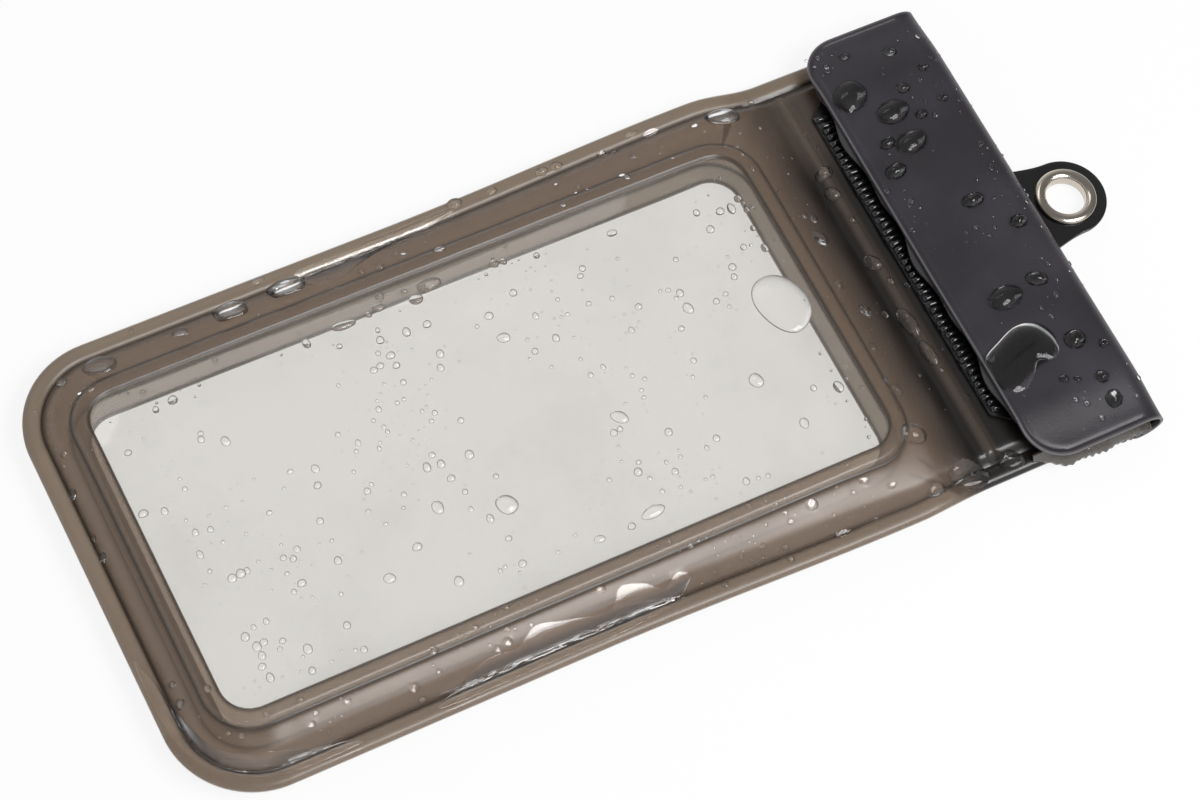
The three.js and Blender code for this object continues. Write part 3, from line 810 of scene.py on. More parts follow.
@dataclass
class PouchPlan:
    """The plan of the bag's films, cut into fine cells that follow the rim and the windows."""

    form: PouchForm
    arc_steps: int = 22
    side_steps: int = 170
    bottom_steps: int = 70
    neck_steps: int = 90
    flank_steps: int = 14
    bead_loops: int = 10
    band_loops: int = 16
    margin_loops: int = 9
    window_loops: int = 26
    below_rows: int = 17
    ridge_rows: int = 9
    above_rows: int = 28

    def _edge(self, inset: float) -> Array:
        """The pocket's edge moved in by an inset, anticlockwise from the right end of the neck line."""
        form = self.form
        neck = plan_row(self._neck_columns() * (1 - inset / self._neck_half), form.neck - inset)
        corner_x = form.pocket_half_width - form.corner_radius
        corner_y = form.bottom + form.corner_radius
        down = np.linspace(form.neck, corner_y, self.side_steps + 1)[1:-1]
        side_x = form.half_width(down) - inset
        reach = form.corner_radius - inset
        turn = np.linspace(0, math.pi / 2, self.arc_steps + 1)
        left = np.stack([-corner_x - reach * np.cos(turn), corner_y - reach * np.sin(turn)], axis=1)
        along = np.linspace(-corner_x, corner_x, self.bottom_steps + 1)[1:-1]
        bottom = plan_row(along, form.bottom + inset)
        right = np.stack([corner_x + reach * np.sin(turn), corner_y - reach * np.cos(turn)], axis=1)
        left_side = np.stack([-side_x, down], axis=1)
        right_side = np.stack([side_x, down], axis=1)[::-1]
        return np.concatenate([neck, left_side, left, bottom, right, right_side])

    @property
    def _neck_half(self) -> float:
        """Half the bag's width at the neck line."""
        return self.form.half_width(np.array([self.form.neck]))[0]

    def _neck_columns(self) -> Array:
        """Columns across the neck line, from its right end to its left one."""
        form = self.form
        flank = self._neck_half - np.linspace(0, form.bead_width + form.mouth_flank, self.flank_steps)
        middle = np.linspace(flank[-1], -flank[-1], self.neck_steps + 1)[1:-1]
        return np.concatenate([flank, middle, -flank[::-1]])

    def _window_loop(self, offset: float) -> Array:
        """The loop an offset outside a window's inner weld line, one point to each edge point."""
        form = self.form
        half_x = form.window_half_width - form.band_width + offset
        half_y = form.window_half_length - form.band_width + offset
        radius = form.window_radius - form.band_width + offset
        outer_half_x = form.half_width(np.array([form.window_centre]))[0]
        outer_half_y = (form.neck - form.bottom) / 2
        edge = self._edge(0.0)
        direction_x = edge[:, 0] / outer_half_x * half_x
        direction_y = (edge[:, 1] - (form.neck + form.bottom) / 2) / outer_half_y * half_y
        reach = 1 / np.maximum(np.abs(direction_x) / half_x, np.abs(direction_y) / half_y)
        x, y = direction_x * reach, direction_y * reach
        corner_x, corner_y = half_x - radius, half_y - radius
        a = direction_x**2 + direction_y**2
        b = np.abs(direction_x) * corner_x + np.abs(direction_y) * corner_y
        c = corner_x**2 + corner_y**2 - radius**2
        on_arc = (b + np.sqrt(np.maximum(b * b - a * c, 0))) / a
        round_ = (np.abs(x) > corner_x) & (np.abs(y) > corner_y)
        x = np.where(round_, direction_x * on_arc, x)
        y = np.where(round_, direction_y * on_arc, y)
        return np.stack([x, form.window_centre + y], axis=1)

    def _band_loops(self) -> list[Array]:
        """Loops across the weld band, the outermost first."""
        outer = self.form.band_width + self.form.window_overlap
        return [self._window_loop(offset) for offset in np.linspace(outer, 0.0, self.band_loops)]

    def sheet(self) -> Net:
        """The plan of both sheets: a frame around the window and the stretch up to the mouth."""
        form = self.form
        beads = [self._edge(inset) for inset in np.linspace(0.0, form.bead_width, self.bead_loops)]
        bands = self._band_loops()
        steps = np.linspace(0, 1, self.margin_loops + 2)[1:-1]
        margin = [beads[-1] + (bands[0] - beads[-1]) * t for t in steps]
        net = Net()
        net.rings([*beads, *margin, *bands])
        columns = self._neck_columns()[::-1]
        half_ridge = form.ridge_width / 2
        ridge = np.linspace(form.ridge - half_ridge, form.ridge + half_ridge, self.ridge_rows)
        below = np.linspace(form.neck, ridge[0], self.below_rows)[:-1]
        above = np.linspace(ridge[-1], form.mouth, self.above_rows)[1:]
        levels = np.concatenate([below, ridge, above])
        wide = form.half_width(levels) / self._neck_half
        net.rows([plan_row(columns * w, y) for w, y in zip(wide, levels)])
        return net

    def window(self) -> Net:
        """The plan of both windows, reaching under the weld band."""
        bands = self._band_loops()
        centre = np.array([0.0, self.form.window_centre])
        steps = np.linspace(0, 1, self.window_loops + 1)[1:]
        inner = [bands[-1] + (centre - bands[-1]) * t for t in steps]
        net = Net()
        net.rings([*bands, *inner])
        return net


@dataclass
class FilmBag:
    """The bag: two smoke sheets, each with its clear window."""

    form: PouchForm
    plan: PouchPlan
    wetting: "Wetting"
    # Strengths of the painted light on the rim bead and the zip ridge, and of the painted shade on the bead by
    # the mouth.
    near_bead: float = 0.45
    mouth_bead_dark: float = 0.75
    band_pale: float = 0.10
    ridge_pale: float = 0.15
    mouth_wet: float = 0.5

    def build(self) -> list[bpy.types.Object]:
        """Builds the four films.

        Returns:
            The four pieces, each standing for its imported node.
        """
        form = self.form
        sheet, window = self.plan.sheet(), self.plan.window()
        smoke, clear = Finish.SMOKE_FILM, Finish.CLEAR_FILM
        return [
            self._film("front_film", "front_sheet", sheet, self._front_under, form.front_top, smoke),
            self._film("rear_film", "rear_sheet", sheet, self._rear_under, form.rear_inner, smoke),
            self._film("front_pane", "front_window", window, self._pane_under, form.window_top_height, clear),
            self._film("rear_pane", "rear_window", window, self._rear_pane_under, self._rear_pane_top, clear),
        ]

    def _front_under(self, x: Array, y: Array) -> Array:
        """The front sheet's under surface."""
        return self.form.front_inner(x, y) + self.form.crease(x, y)

    def _rear_under(self, x: Array, y: Array) -> Array:
        """The rear sheet's under surface, with the lower half of the bead."""
        return self.form.rear_inner(x, y) - self.form.film - self.form.bead(x, y)

    def _pane_under(self, x: Array, y: Array) -> Array:
        """The front window's under surface."""
        return self.form.window_top_height(x, y) - self.form.window_film

    def _rear_pane_under(self, x: Array, y: Array) -> Array:
        """The rear window's under surface."""
        return self.form.rear_inner(x, y) + self.form.weld_gap

    def _rear_pane_top(self, x: Array, y: Array) -> Array:
        """The rear window's upper surface."""
        return self._rear_pane_under(x, y) + self.form.window_film

    def _weld_lines(self, x: Array, y: Array) -> Array:
        """1 on the thin dark lines beside the rim bead and along both sides of the weld band."""
        form = self.form
        rim = form.rim_distance(x, y)
        outward = form.window_distance(x, y)
        lines = [
            (rim - form.bead_width - 0.15) / 0.35,
            (outward - form.band_width - 0.2) / 0.32,
            (outward - 0.35) / 0.3,
        ]
        return np.clip(sum(np.exp(-(line**2)) for line in lines), 0, 1)

    def _film(self, name: str, node: str, net: Net, lower: HeightOf, upper: HeightOf,
              finish: Finish) -> bpy.types.Object:
        """Builds one film and writes what its material reads.

        Args:
            name: The piece's name.
            node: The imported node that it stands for.
            net: Its plan.
            lower: Height of its under surface.
            upper: Height of its upper surface.
            finish: What it is made of.

        Returns:
            The new piece.
        """
        form = self.form
        made, plan = solid_between(name, net, standing(lower), standing(upper), finish)
        x, y = plan[:, 0], plan[:, 1]
        bead = smooth((form.bead_width - form.rim_distance(x, y)) / 0.5)
        outward = form.window_distance(x, y)
        band = smooth((outward + 0.3) / 0.6) * smooth((form.band_width - outward + 0.3) / 0.6)
        ridge = smooth((1.3 - np.abs(y - form.ridge)) / 0.5) * smooth((form.rim_distance(x, y) - 4.0) / 2.0)
        # Painted light: the rim bead is made paler, most on the far side, painted shade darkens it towards the
        # mouth, and the zip ridge gets a painted sheen; the weld band is only a little paler.
        far = self.near_bead + (1 - self.near_bead) * smooth((20.0 - x) / 30.0)
        mouth_end = smooth((x - 10.0) / 20.0) * smooth((y - form.window_top + 4.0) / 12.0)
        pale_and_sheen = bead * far * (1 - self.mouth_bead_dark * mouth_end)
        pale_and_sheen = np.maximum(np.maximum(pale_and_sheen, self.band_pale * band), self.ridge_pale * ridge)
        mark(made, "weld", pale_and_sheen)
        # Painted shade: the film darkens from the window's top towards the ridge and the flap, less on the rim
        # bead away from the mouth; painted light keeps the far end and the ridge lighter.
        deep = smooth((y - form.window_top - 0.5) / 9.0) * (1 - 0.8 * bead * (1 - mouth_end))
        lit_end = 0.45 * smooth((-20.0 - x) / 16.0)
        mark(made, "shade", deep * (1 - lit_end) * (1 - 0.35 * ridge))
        soaked = self.mouth_wet * smooth((y - form.window_top) / 5.0)
        mark(made, "wet", np.maximum(soaked, self.wetting.on_film.cover(x, y)))
        mark(made, "line", self._weld_lines(x, y))
        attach(made, "root")
        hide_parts(node)
        return made


class Surface:
    """A surface that something lies on, given as a map from two plan places to points in space."""

    def __init__(self, at: Callable[[Array, Array], Array]) -> None:
        """Keeps the map."""
        self.at = at

    def lifted(self, u: Array, v: Array, lift: Array | float) -> Array:
        """Points raised off the surface along its normal.

        Args:
            u: The first plan place of each point.
            v: The second plan place of each point.
            lift: How far each point is raised, in millimetres.

        Returns:
            The points in space.
        """
        reach = 0.4
        across = self.at(u + reach, v) - self.at(u - reach, v)
        along = self.at(u, v + reach) - self.at(u, v - reach)
        normal = np.cross(across, along)
        normal /= np.linalg.norm(normal, axis=1, keepdims=True)
        return self.at(u, v) + normal * np.reshape(lift, (-1, 1))


@dataclass(frozen=True)
class Drop:
    """One drop of water: its place, length, width and turn in degrees, and how square its outline is."""

    x: float
    y: float
    length: float
    width: float
    turn: float = 0.0
    square: float = 2.0
    crown_share: ClassVar[float] = 0.62
    highest: ClassVar[float] = 1.25

    def share(self, x: Array, y: Array) -> Array:
        """How far out plan places lie, 0 at the drop's middle and 1 on its outline."""
        angle = math.radians(self.turn)
        over_x, over_y = x - self.x, y - self.y
        u = (over_x * math.cos(angle) + over_y * math.sin(angle)) / (self.length / 2)
        v = (over_y * math.cos(angle) - over_x * math.sin(angle)) / (self.width / 2)
        return (np.abs(u) ** self.square + np.abs(v) ** self.square) ** (1 / self.square)

    def loops(self, rings: int, sectors: int, edge_power: float) -> list[Array]:
        """Closed loops from the outline to the middle, each point with its height above the film."""
        seed = int(abs(self.x * 131 + self.y * 17) * 10)
        rng = np.random.default_rng(seed)
        around = np.linspace(0, 2 * math.pi, sectors, endpoint=False)
        phase = rng.uniform(0, 2 * math.pi, 3)
        wobble = 1 + sum(0.05 / (k + 1) * np.sin((k + 2) * around + phase[k]) for k in range(3))
        cos, sin = np.cos(around), np.sin(around)
        edge = wobble / (np.abs(cos) ** self.square + np.abs(sin) ** self.square) ** (1 / self.square)
        crown = min(self.crown_share * self.width / 2, self.highest)
        angle = math.radians(self.turn)
        loops = []
        for rho in np.sin(np.linspace(math.pi / 2, 0, rings)):
            u, v = edge * rho * cos * self.length / 2, edge * rho * sin * self.width / 2
            x = self.x + u * math.cos(angle) - v * math.sin(angle)
            y = self.y + u * math.sin(angle) + v * math.cos(angle)
            height = crown * max(1 - rho**2, 0) ** edge_power + WATER_EDGE
            loops.append(np.stack([x, y, np.full_like(x, height)], axis=1))
        return loops


def drops(*rows: tuple[float, ...]) -> tuple[Drop, ...]:
    """Drops from rows of their numbers."""
    return tuple(Drop(*row) for row in rows)


@dataclass(frozen=True)
class Puddle:
    """A flat patch of water with a wavy outline, given by points around it and along its middle."""

    outline: tuple[tuple[float, float], ...]
    spine: tuple[tuple[float, float], ...]
    depth: float = 0.12
    edge_steps: ClassVar[int] = 8
    spine_steps: ClassVar[int] = 24
    bunching: ClassVar[float] = 1.8
    rim_share: ClassVar[float] = 0.7

    def _edge(self) -> Array:
        """The outline, rounded through its points."""
        points = np.array(self.outline)
        before, after, beyond = (np.roll(points, shift, axis=0) for shift in (1, -1, -2))
        steps = np.linspace(0, 1, self.edge_steps, endpoint=False).reshape(-1, 1, 1)
        bend = 2 * before - 5 * points + 4 * after - beyond
        turn = 3 * points - before - 3 * after + beyond
        curve = points + 0.5 * steps * (after - before + steps * (bend + steps * turn))
        return curve.transpose(1, 0, 2).reshape(-1, 2)

    def _middle(self, edge: Array) -> Array:
        """The nearest place on the spine to each edge point."""
        spine = np.array(self.spine)
        steps = np.linspace(0, 1, self.spine_steps)[:, None]
        dense = np.concatenate([a + (b - a) * steps for a, b in zip(spine, spine[1:])])
        nearest = np.argmin(np.linalg.norm(edge[:, None] - dense[None], axis=2), axis=1)
        return dense[nearest]

    def share(self, x: Array, y: Array) -> Array:
        """How far out plan places lie, 0 on the spine and 1 on the outline, roughly."""
        edge = self._edge()
        middle = self._middle(edge)
        place = np.stack([x, y], axis=1)
        own = self._middle(place)
        width = np.linalg.norm(edge - middle, axis=1).mean()
        return np.linalg.norm(place - own, axis=1) / width

    def loops(self, rings: int, _sectors: int, edge_power: float) -> list[Array]:
        """Closed loops from the outline to the spine, each point with its height above the film."""
        edge = self._edge()
        middle = self._middle(edge)
        loops = []
        for t in np.linspace(0, 1, rings) ** self.bunching:
            rim = 1 - min(t / self.rim_share, 1.0)
            height = self.depth * (1 - rim**2) ** edge_power + WATER_EDGE
            plan = edge + (middle - edge) * t
            loops.append(np.concatenate([plan, np.full((len(plan), 1), height)], axis=1))
        return loops


@dataclass
class WaterOn:
    """The drops and puddles on one surface, made as one piece."""

    name: str
    surface: Surface
    drops: Sequence[Union[Drop, Puddle]]
    edge_power: float = 0.8
    rings: int = 12
    sectors: int = 32
    foot: float = 0.03
    clearance: float = 1.3

    def build(self) -> bpy.types.Object:
        """Builds the piece.

        Returns:
            The water on this surface.
        """
        net = Net()
        for drop in self.drops:
            net.rings(drop.loops(self.rings, self.sectors, self.edge_power))
        made, _ = solid_between(
            self.name,
            net,
            lambda x, y, _lift: self.surface.lifted(x, y, self.foot),
            lambda x, y, lift: self.surface.lifted(x, y, self.foot + lift),
            Finish.WATER,
        )
        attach(made, "root")
        return made

    def dry(self, x: Array, y: Array) -> Array:
        """1 where none of these drops lies, and 0 under and close beside one."""
        free = np.ones_like(x)
        for drop in self.drops:
            free *= drop.share(x, y) > self.clearance
        return free

    def cover(self, x: Array, y: Array) -> Array:
        """1 under these drops, fading to 0 just outside their outlines."""
        covered = np.zeros_like(x)
        for drop in self.drops:
            covered = np.maximum(covered, smooth((1.08 - drop.share(x, y)) / 0.16))
        return covered


class Recipe(NodeBuilder):
    """A Geometry Nodes tree with named inputs, built here and grown on a base mesh."""

    def __init__(self, name: str) -> None:
        """Starts the tree with its geometry input and output."""
        self.tree = bpy.data.node_groups.new(name, "GeometryNodeTree")
        self.sockets: dict[str, str] = {}
        self.tree.interface.new_socket("Geometry", in_out="OUTPUT", socket_type="NodeSocketGeometry")
        self.tree.interface.new_socket("Geometry", in_out="INPUT", socket_type="NodeSocketGeometry")
        self.entry = self.tree.nodes.new("NodeGroupInput")

    def input(self, name: str, kind: str) -> bpy.types.NodeSocket:
        """Adds a named input of a kind, such as Float, and returns its socket."""
        item = self.tree.interface.new_socket(name, in_out="INPUT", socket_type=f"NodeSocket{kind}")
        self.sockets[name] = item.identifier
        return self.entry.outputs[name]

    def finish(self, instances: bpy.types.NodeSocket, material: bpy.types.NodeSocket) -> None:
        """Ends the tree: real meshes from the instances, with their material."""
        real = self.node("GeometryNodeRealizeInstances", {}, {"Geometry": instances})
        inputs = {"Geometry": real.outputs[0], "Material": material}
        dressed = self.node("GeometryNodeSetMaterial", {}, inputs)
        self.node("NodeGroupOutput", {}, {0: dressed.outputs[0]})

    def grow(self, name: str, base: bpy.types.Mesh, values: dict, finish: Finish) -> bpy.types.Object:
        """Grows the tree on a base mesh and turns the result into a plain piece.

        Args:
            name: The new piece's name.
            base: The mesh that the tree starts from.
            values: The value of each named input.
            finish: What the piece is made of.

        Returns:
            The new piece, riding on the pouch.
        """
        seed = linked(name + "_base", base)
        growth = seed.modifiers.new(name, "NODES")
        growth.node_group = self.tree
        for key, value in values.items():
            growth[self.sockets[key]] = value
        growth[self.sockets["Finish"]] = finish.material()
        graph = bpy.context.evaluated_depsgraph_get()
        mesh = bpy.data.meshes.new_from_object(seed.evaluated_get(graph), depsgraph=graph)
        mesh.name = name
        mesh.shade_smooth()
        bpy.data.objects.remove(seed)
        made = linked(name, mesh)
        finish.slot
        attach(made, "root")
        return made


@dataclass
class Spray:
    """The many small drops, scattered over a surface."""

    seed: int = 7
    spacing: float = 1.1
    cell: float = 1.2
    edge_power: float = 0.5
    rings: int = 5
    sectors: int = 12
    foot: float = 0.03
    steepness: float = 1.15
    smallest: float = 0.16
    skew: float = 3.2

    def __post_init__(self) -> None:
        """Builds the tree that scatters drops."""
        tree = Recipe("spray")
        shape = tree.input("Drop", "Object")
        spacing = tree.input("Spacing", "Float")
        most = tree.input("Most", "Float")
        smallest = tree.input("Smallest", "Float")
        range_ = tree.input("Range", "Float")
        seed = tree.input("Seed", "Int")
        finish = tree.input("Finish", "Material")
        density = tree.node("GeometryNodeInputNamedAttribute", {"data_type": "FLOAT"}, {"Name": "density"})
        places = tree.node(
            "GeometryNodeDistributePointsOnFaces",
            {"distribute_method": "POISSON"},
            {
                "Mesh": tree.entry.outputs[0],
                "Distance Min": spacing,
                "Density Max": most,
                "Density Factor": density.outputs[0],
                "Seed": seed,
            },
        )
        chance = tree.node("FunctionNodeRandomValue", {"data_type": "FLOAT"}, {"Seed": seed})
        skewed = tree.node("ShaderNodeMath", {"operation": "POWER"}, {0: chance.outputs[1], 1: self.skew})
        scaled = tree.node("ShaderNodeMath", {"operation": "MULTIPLY_ADD"},
                           {0: skewed.outputs[0], 1: range_, 2: smallest})
        stretch = tree.node(
            "FunctionNodeRandomValue",
            {"data_type": "FLOAT_VECTOR"},
            {0: (0.85, 0.85, 0.8), 1: (1.3, 1.1, 1.15), "Seed": seed},
        )
        size = tree.node("ShaderNodeVectorMath", {"operation": "SCALE"},
                         {0: stretch.outputs[0], "Scale": scaled.outputs[0]})
        lens = tree.node("GeometryNodeObjectInfo", {}, {"Object": shape})
        inputs = {
            "Points": places.outputs["Points"],
            "Instance": lens.outputs["Geometry"],
            "Rotation": places.outputs["Rotation"],
            "Scale": size.outputs[0],
        }
        drops = tree.node("GeometryNodeInstanceOnPoints", {}, inputs)
        tree.finish(drops.outputs[0], finish)
        self.tree = tree

    def _lens(self) -> bpy.types.Object:
        """A round drop of 1 mm radius and few faces, which is copied."""
        one = Drop(0.0, 0.0, 2.0, 2.0)
        net = Net()
        net.rings(one.loops(self.rings, self.sectors, self.edge_power))
        made, _ = solid_between(
            "lens",
            net,
            lambda x, y, _lift: np.stack([x, y, np.full_like(x, self.foot)], axis=1),
            lambda x, y, lift: np.stack([x, y, lift * self.steepness + self.foot], axis=1),
            Finish.WATER,
        )
        return made

    def build(self, name: str, surface: Surface, across: Array, along: Array, density: HeightOf, most: float,
              largest: float) -> bpy.types.Object:
        """Scatters drops over a surface.

        Args:
            name: The new piece's name.
            surface: What the drops lie on.
            across: The two ends of the scattered field in the first plan place.
            along: The two ends in the second.
            density: How densely drops lie at a plan place, from 0 to 1.
            most: The most drops on a square centimetre.
            largest: The radius of the largest drop, in millimetres.

        Returns:
            The scattered drops as one piece.
        """
        columns = np.arange(across[0], across[1], self.cell)
        rows = np.arange(along[0], along[1], self.cell)
        net = Net()
        net.rows([plan_row(columns, v) for v in rows])
        plan, cells = net.merged()
        wet = density(plan[:, 0], plan[:, 1])
        kept = [cell for cell in cells.tolist() if min(wet[corner] for corner in cell) > 0]
        base = bpy.data.meshes.new(name + "_field")
        base.from_pydata((surface.lifted(plan[:, 0], plan[:, 1], 0.01) * MM).tolist(), [], kept)
        layer = base.attributes.new("density", "FLOAT", "POINT")
        layer.data.foreach_set("value", np.asarray(wet, dtype=np.float32))
        lens = self._lens()
        values = {
            "Drop": lens,
            "Spacing": self.spacing * MM,
            "Most": most * SQUARE_CM_IN_SQUARE_M,
            "Smallest": self.smallest,
            "Range": largest - self.smallest,
            "Seed": self.seed,
        }
        made = self.tree.grow(name, base, values, Finish.WATER)
        bpy.data.objects.remove(lens)
        return made


@dataclass
class Wetting:
    """All the water on the pouch, where the photograph shows it."""

    form: PouchForm
    flap: "Flap"

    side_drops: tuple[Drop, ...] = drops(
        (-42.0, 42.5, 6.9, 4.2, 80), (-40.2, -87.5, 6.6, 4.3, 88), (-40.4, -94.9, 2.6, 2.0),
        (-40.6, -71.5, 3.2, 2.2, 90), (-41.5, -61.1, 6.4, 5.0, 90, 3.4), (-41.9, -49.6, 7.0, 4.9, 92, 3.4),
        (-45.6, -53.9, 3.2, 1.5, 90), (-46.0, -12.9, 3.0, 2.4, 90), (-45.6, -5.3, 2.2, 1.7, 90),
        (-45.7, 5.4, 2.6, 1.9, 90), (-45.7, 8.5, 2.4, 1.9, 90), (-46.2, 24.8, 3.2, 1.2, 90),
        (-45.2, 28.4, 3.8, 1.4, 92), (-44.7, 17.8, 1.9, 1.4, 90), (-43.8, 19.9, 1.6, 1.1, 90),
        (-40.4, 22.1, 1.5, 1.2, 80), (-36.4, -20.9, 2.4, 1.6, 90), (-5.6, -101.9, 1.9, 1.4),
        (-9.7, -101.9, 1.3, 1.1), (-19.2, -101.9, 2.1, 1.5), (22.5, -100.7, 1.4, 1.1),
        (26.3, -100.9, 2.0, 1.5), (40.7, -62.8, 2.1, 1.6, 80), (38.1, -24.7, 1.9, 1.5, 80),
        (40.0, -44.0, 1.8, 1.5, 80), (36.6, -57.0, 1.7, 1.3, 80), (39.8, -82.0, 1.6, 1.2, 80),
        (41.0, 33.9, 1.9, 1.5, 80), (38.9, 18.0, 2.6, 2.2, 80), (38.6, 29.1, 2.1, 1.6, 80),
        (45.0, 22.0, 3.8, 1.5, 92), (44.5, 42.1, 4.6, 2.2, 92), (33.7, 42.4, 5.2, 4.4, 60),
        (-28.0, 41.2, 1.3, 1.1), (0.5, 44.6, 2.0, 1.8), (14.8, 44.2, 1.8, 1.5),
        (7.0, 47.2, 3.0, 2.2, 20), (-10.3, 46.8, 3.8, 2.9, 30), (24.4, 44.0, 2.6, 2.2, 30),
    )
    closure_drops: tuple[Drop, ...] = drops(
        (-23.6, 55.2, 2.6, 4.4, 10), (-19.0, 54.6, 3.2, 3.0, 20), (-2.6, 54.4, 4.0, 2.9, 40),
        (11.4, 54.4, 6.6, 3.1, 8), (18.8, 54.8, 5.6, 2.4, 8), (2.4, 55.6, 1.8, 1.5),
        (-12.4, 55.4, 1.6, 1.3),
    )
    pane_drops: tuple[Drop, ...] = drops(
        (-30.3, -26.0, 5.0, 2.6, 88), (-28.4, -29.5, 2.8, 2.1, 88), (-29.7, -36.6, 2.4, 1.8, 88),
        (-28.9, -44.0, 4.6, 2.0, 88), (-28.2, -51.8, 2.0, 1.6), (-26.3, 10.2, 2.0, 1.5, 88),
        (-21.9, 33.4, 2.3, 1.7), (-11.8, 35.2, 1.8, 1.4), (0.0, 32.7, 13.5, 9.2, 12, 2.3),
        (19.8, 34.0, 2.4, 2.0), (12.4, 20.6, 3.2, 2.6, 30), (23.8, 24.6, 2.2, 1.8),
        (28.4, -9.1, 4.8, 2.4, 92), (29.2, -20.4, 2.2, 1.5, 92), (-6.2, 16.0, 2.4, 2.0, 15),
        (-14.6, -18.2, 2.6, 2.0, 60), (8.8, -6.0, 3.4, 2.4, 40), (16.2, -32.6, 4.4, 3.6, 55),
        (11.6, -44.2, 2.8, 2.2, 15), (20.6, -58.0, 2.4, 1.9, 70), (-4.4, -61.0, 1.9, 1.5),
        (-16.0, -73.4, 2.2, 1.6), (2.6, -86.6, 1.7, 1.3),
    )
    flap_drops: tuple[Drop, ...] = drops(
        (-28.6, 72.5, 5.0, 6.8, 12), (-34.9, 66.4, 6.2, 7.4, 30, 2.3), (-21.2, 72.6, 4.6, 6.6, 8),
        (-26.0, 77.4, 1.9, 2.5), (-16.8, 66.6, 3.2, 4.6, 15), (-32.6, 76.9, 2.2, 2.7),
        (-35.3, 83.0, 1.6, 2.0), (-27.7, 83.2, 1.7, 2.2), (-22.8, 68.2, 2.2, 3.4, 20),
        (-5.2, 77.2, 3.0, 4.6, 5), (2.4, 83.0, 2.8, 3.6), (15.9, 72.4, 4.6, 7.2, 8),
        (14.8, 79.9, 2.9, 4.2, -20, 2.4), (29.0, 80.0, 3.8, 4.4), (32.0, 84.6, 1.7, 1.9),
        (37.9, 80.8, 2.4, 2.7), (42.6, 80.9, 3.2, 3.4, 20, 2.5), (35.4, 74.0, 1.6, 1.8),
        (36.6, 76.2, 1.2, 1.4), (-44.0, 70.4, 1.6, 2.0), (-41.2, 78.8, 2.2, 2.8),
    )
    puddles: tuple[Puddle, ...] = (
        Puddle(
            ((45.1, -59.9), (43.0, -54.9), (41.2, -48.8), (41.3, -42.5), (39.4, -38.3), (40.4, -32.9),
             (41.6, -26.5), (41.4, -23.6), (39.0, -21.2), (39.9, -17.0), (41.9, -13.6), (40.5, -10.4),
             (41.8, -8.2), (44.4, -12.2), (45.2, -16.6), (45.8, -24.1), (45.6, -34.7), (45.7, -46.0),
             (45.7, -56.3)),
            ((44.5, -57.0), (43.7, -48.0), (43.0, -40.0), (43.3, -32.0), (43.7, -26.0), (42.3, -19.0),
             (43.1, -14.0), (42.0, -10.4)),
        ),
        Puddle(
            ((15.0, -104.6), (22.0, -102.6), (31.3, -100.9), (37.4, -97.6), (40.4, -92.0), (42.2, -86.2),
             (43.6, -78.6), (45.4, -74.6), (45.7, -82.0), (45.0, -90.5), (42.0, -97.2), (36.6, -102.2),
             (29.5, -104.7), (22.0, -105.0)),
            ((17.0, -104.5), (24.0, -103.9), (31.0, -102.8), (37.8, -98.9), (42.4, -91.6), (44.6, -81.0),
             (45.3, -76.5)),
        ),
        Puddle(
            ((-44.6, -46.4), (-41.6, -46.8), (-39.0, -44.0), (-39.0, -39.4), (-40.4, -35.2), (-41.6, -31.2),
             (-42.5, -26.0), (-43.5, -20.0), (-44.4, -14.2), (-45.2, -14.4), (-45.0, -22.0), (-44.9, -30.0),
             (-44.9, -39.0)),
            ((-42.4, -44.0), (-42.2, -38.0), (-43.2, -31.0), (-44.1, -24.0), (-44.8, -15.6)),
            0.2,
        ),
        Puddle(
            ((41.6, 46.4), (44.0, 45.8), (46.2, 47.8), (46.9, 51.2), (45.2, 53.4), (42.6, 52.6), (41.0, 49.6)),
            ((43.6, 48.4), (44.8, 50.8)),
            0.8,
        ),
        Puddle(
            ((42.6, 56.4), (44.6, 55.8), (46.2, 57.6), (46.0, 60.6), (43.8, 60.8), (42.2, 58.8)),
            ((44.0, 57.6), (44.6, 59.4)),
            0.7,
        ),
    )
    flap_puddles: tuple[Puddle, ...] = (
        Puddle(
            ((25.6, 62.5), (23.8, 66.0), (22.0, 71.0), (23.0, 74.6), (26.4, 76.4), (29.6, 76.2), (31.0, 74.0),
             (30.2, 71.4), (32.4, 69.2), (34.4, 66.4), (34.0, 63.6), (31.0, 62.2), (28.0, 62.0)),
            ((29.0, 64.4), (27.4, 68.6), (26.6, 72.6)),
            0.75,
        ),
    )

    def __post_init__(self) -> None:
        """Lays the drops on the film, the window and the flap."""
        form, flap = self.form, self.flap
        film = Surface(standing(form.front_top))
        pane = Surface(standing(form.window_top_height))
        top = Surface(lambda x, y: flap.point(x, y - flap.edge, 0.0))
        self.on_film = WaterOn("film_water", film, [*self.side_drops, *self.closure_drops, *self.puddles])
        self.on_pane = WaterOn("window_water", pane, self.pane_drops, edge_power=0.48)
        self.on_flap = WaterOn("flap_water", top, [*self.flap_drops, *self.flap_puddles])

    def build(self) -> list[bpy.types.Object]:
        """Builds the drops, the puddles and the spray.

        Returns:
            The pieces of water.
        """
        form, flap = self.form, self.flap
        on_film, on_pane, on_flap = self.on_film, self.on_pane, self.on_flap
        film, pane, top = on_film.surface, on_pane.surface, on_flap.surface
        spray = Spray()

        def film_density(x: Array, y: Array) -> Array:
            """Where small drops lie on the smoke film."""
            clear = (form.rim_distance(x, y) > 1.0) & (form.window_distance(x, y) > 0.8) & (y < flap.edge + 1)
            near = 0.35 + 0.65 * smooth((x - 30) / 6)
            clumps = smooth(0.45 + 0.9 * ripple(x, y, 34.0, 21))
            return clear * near * clumps * on_film.dry(x, y)

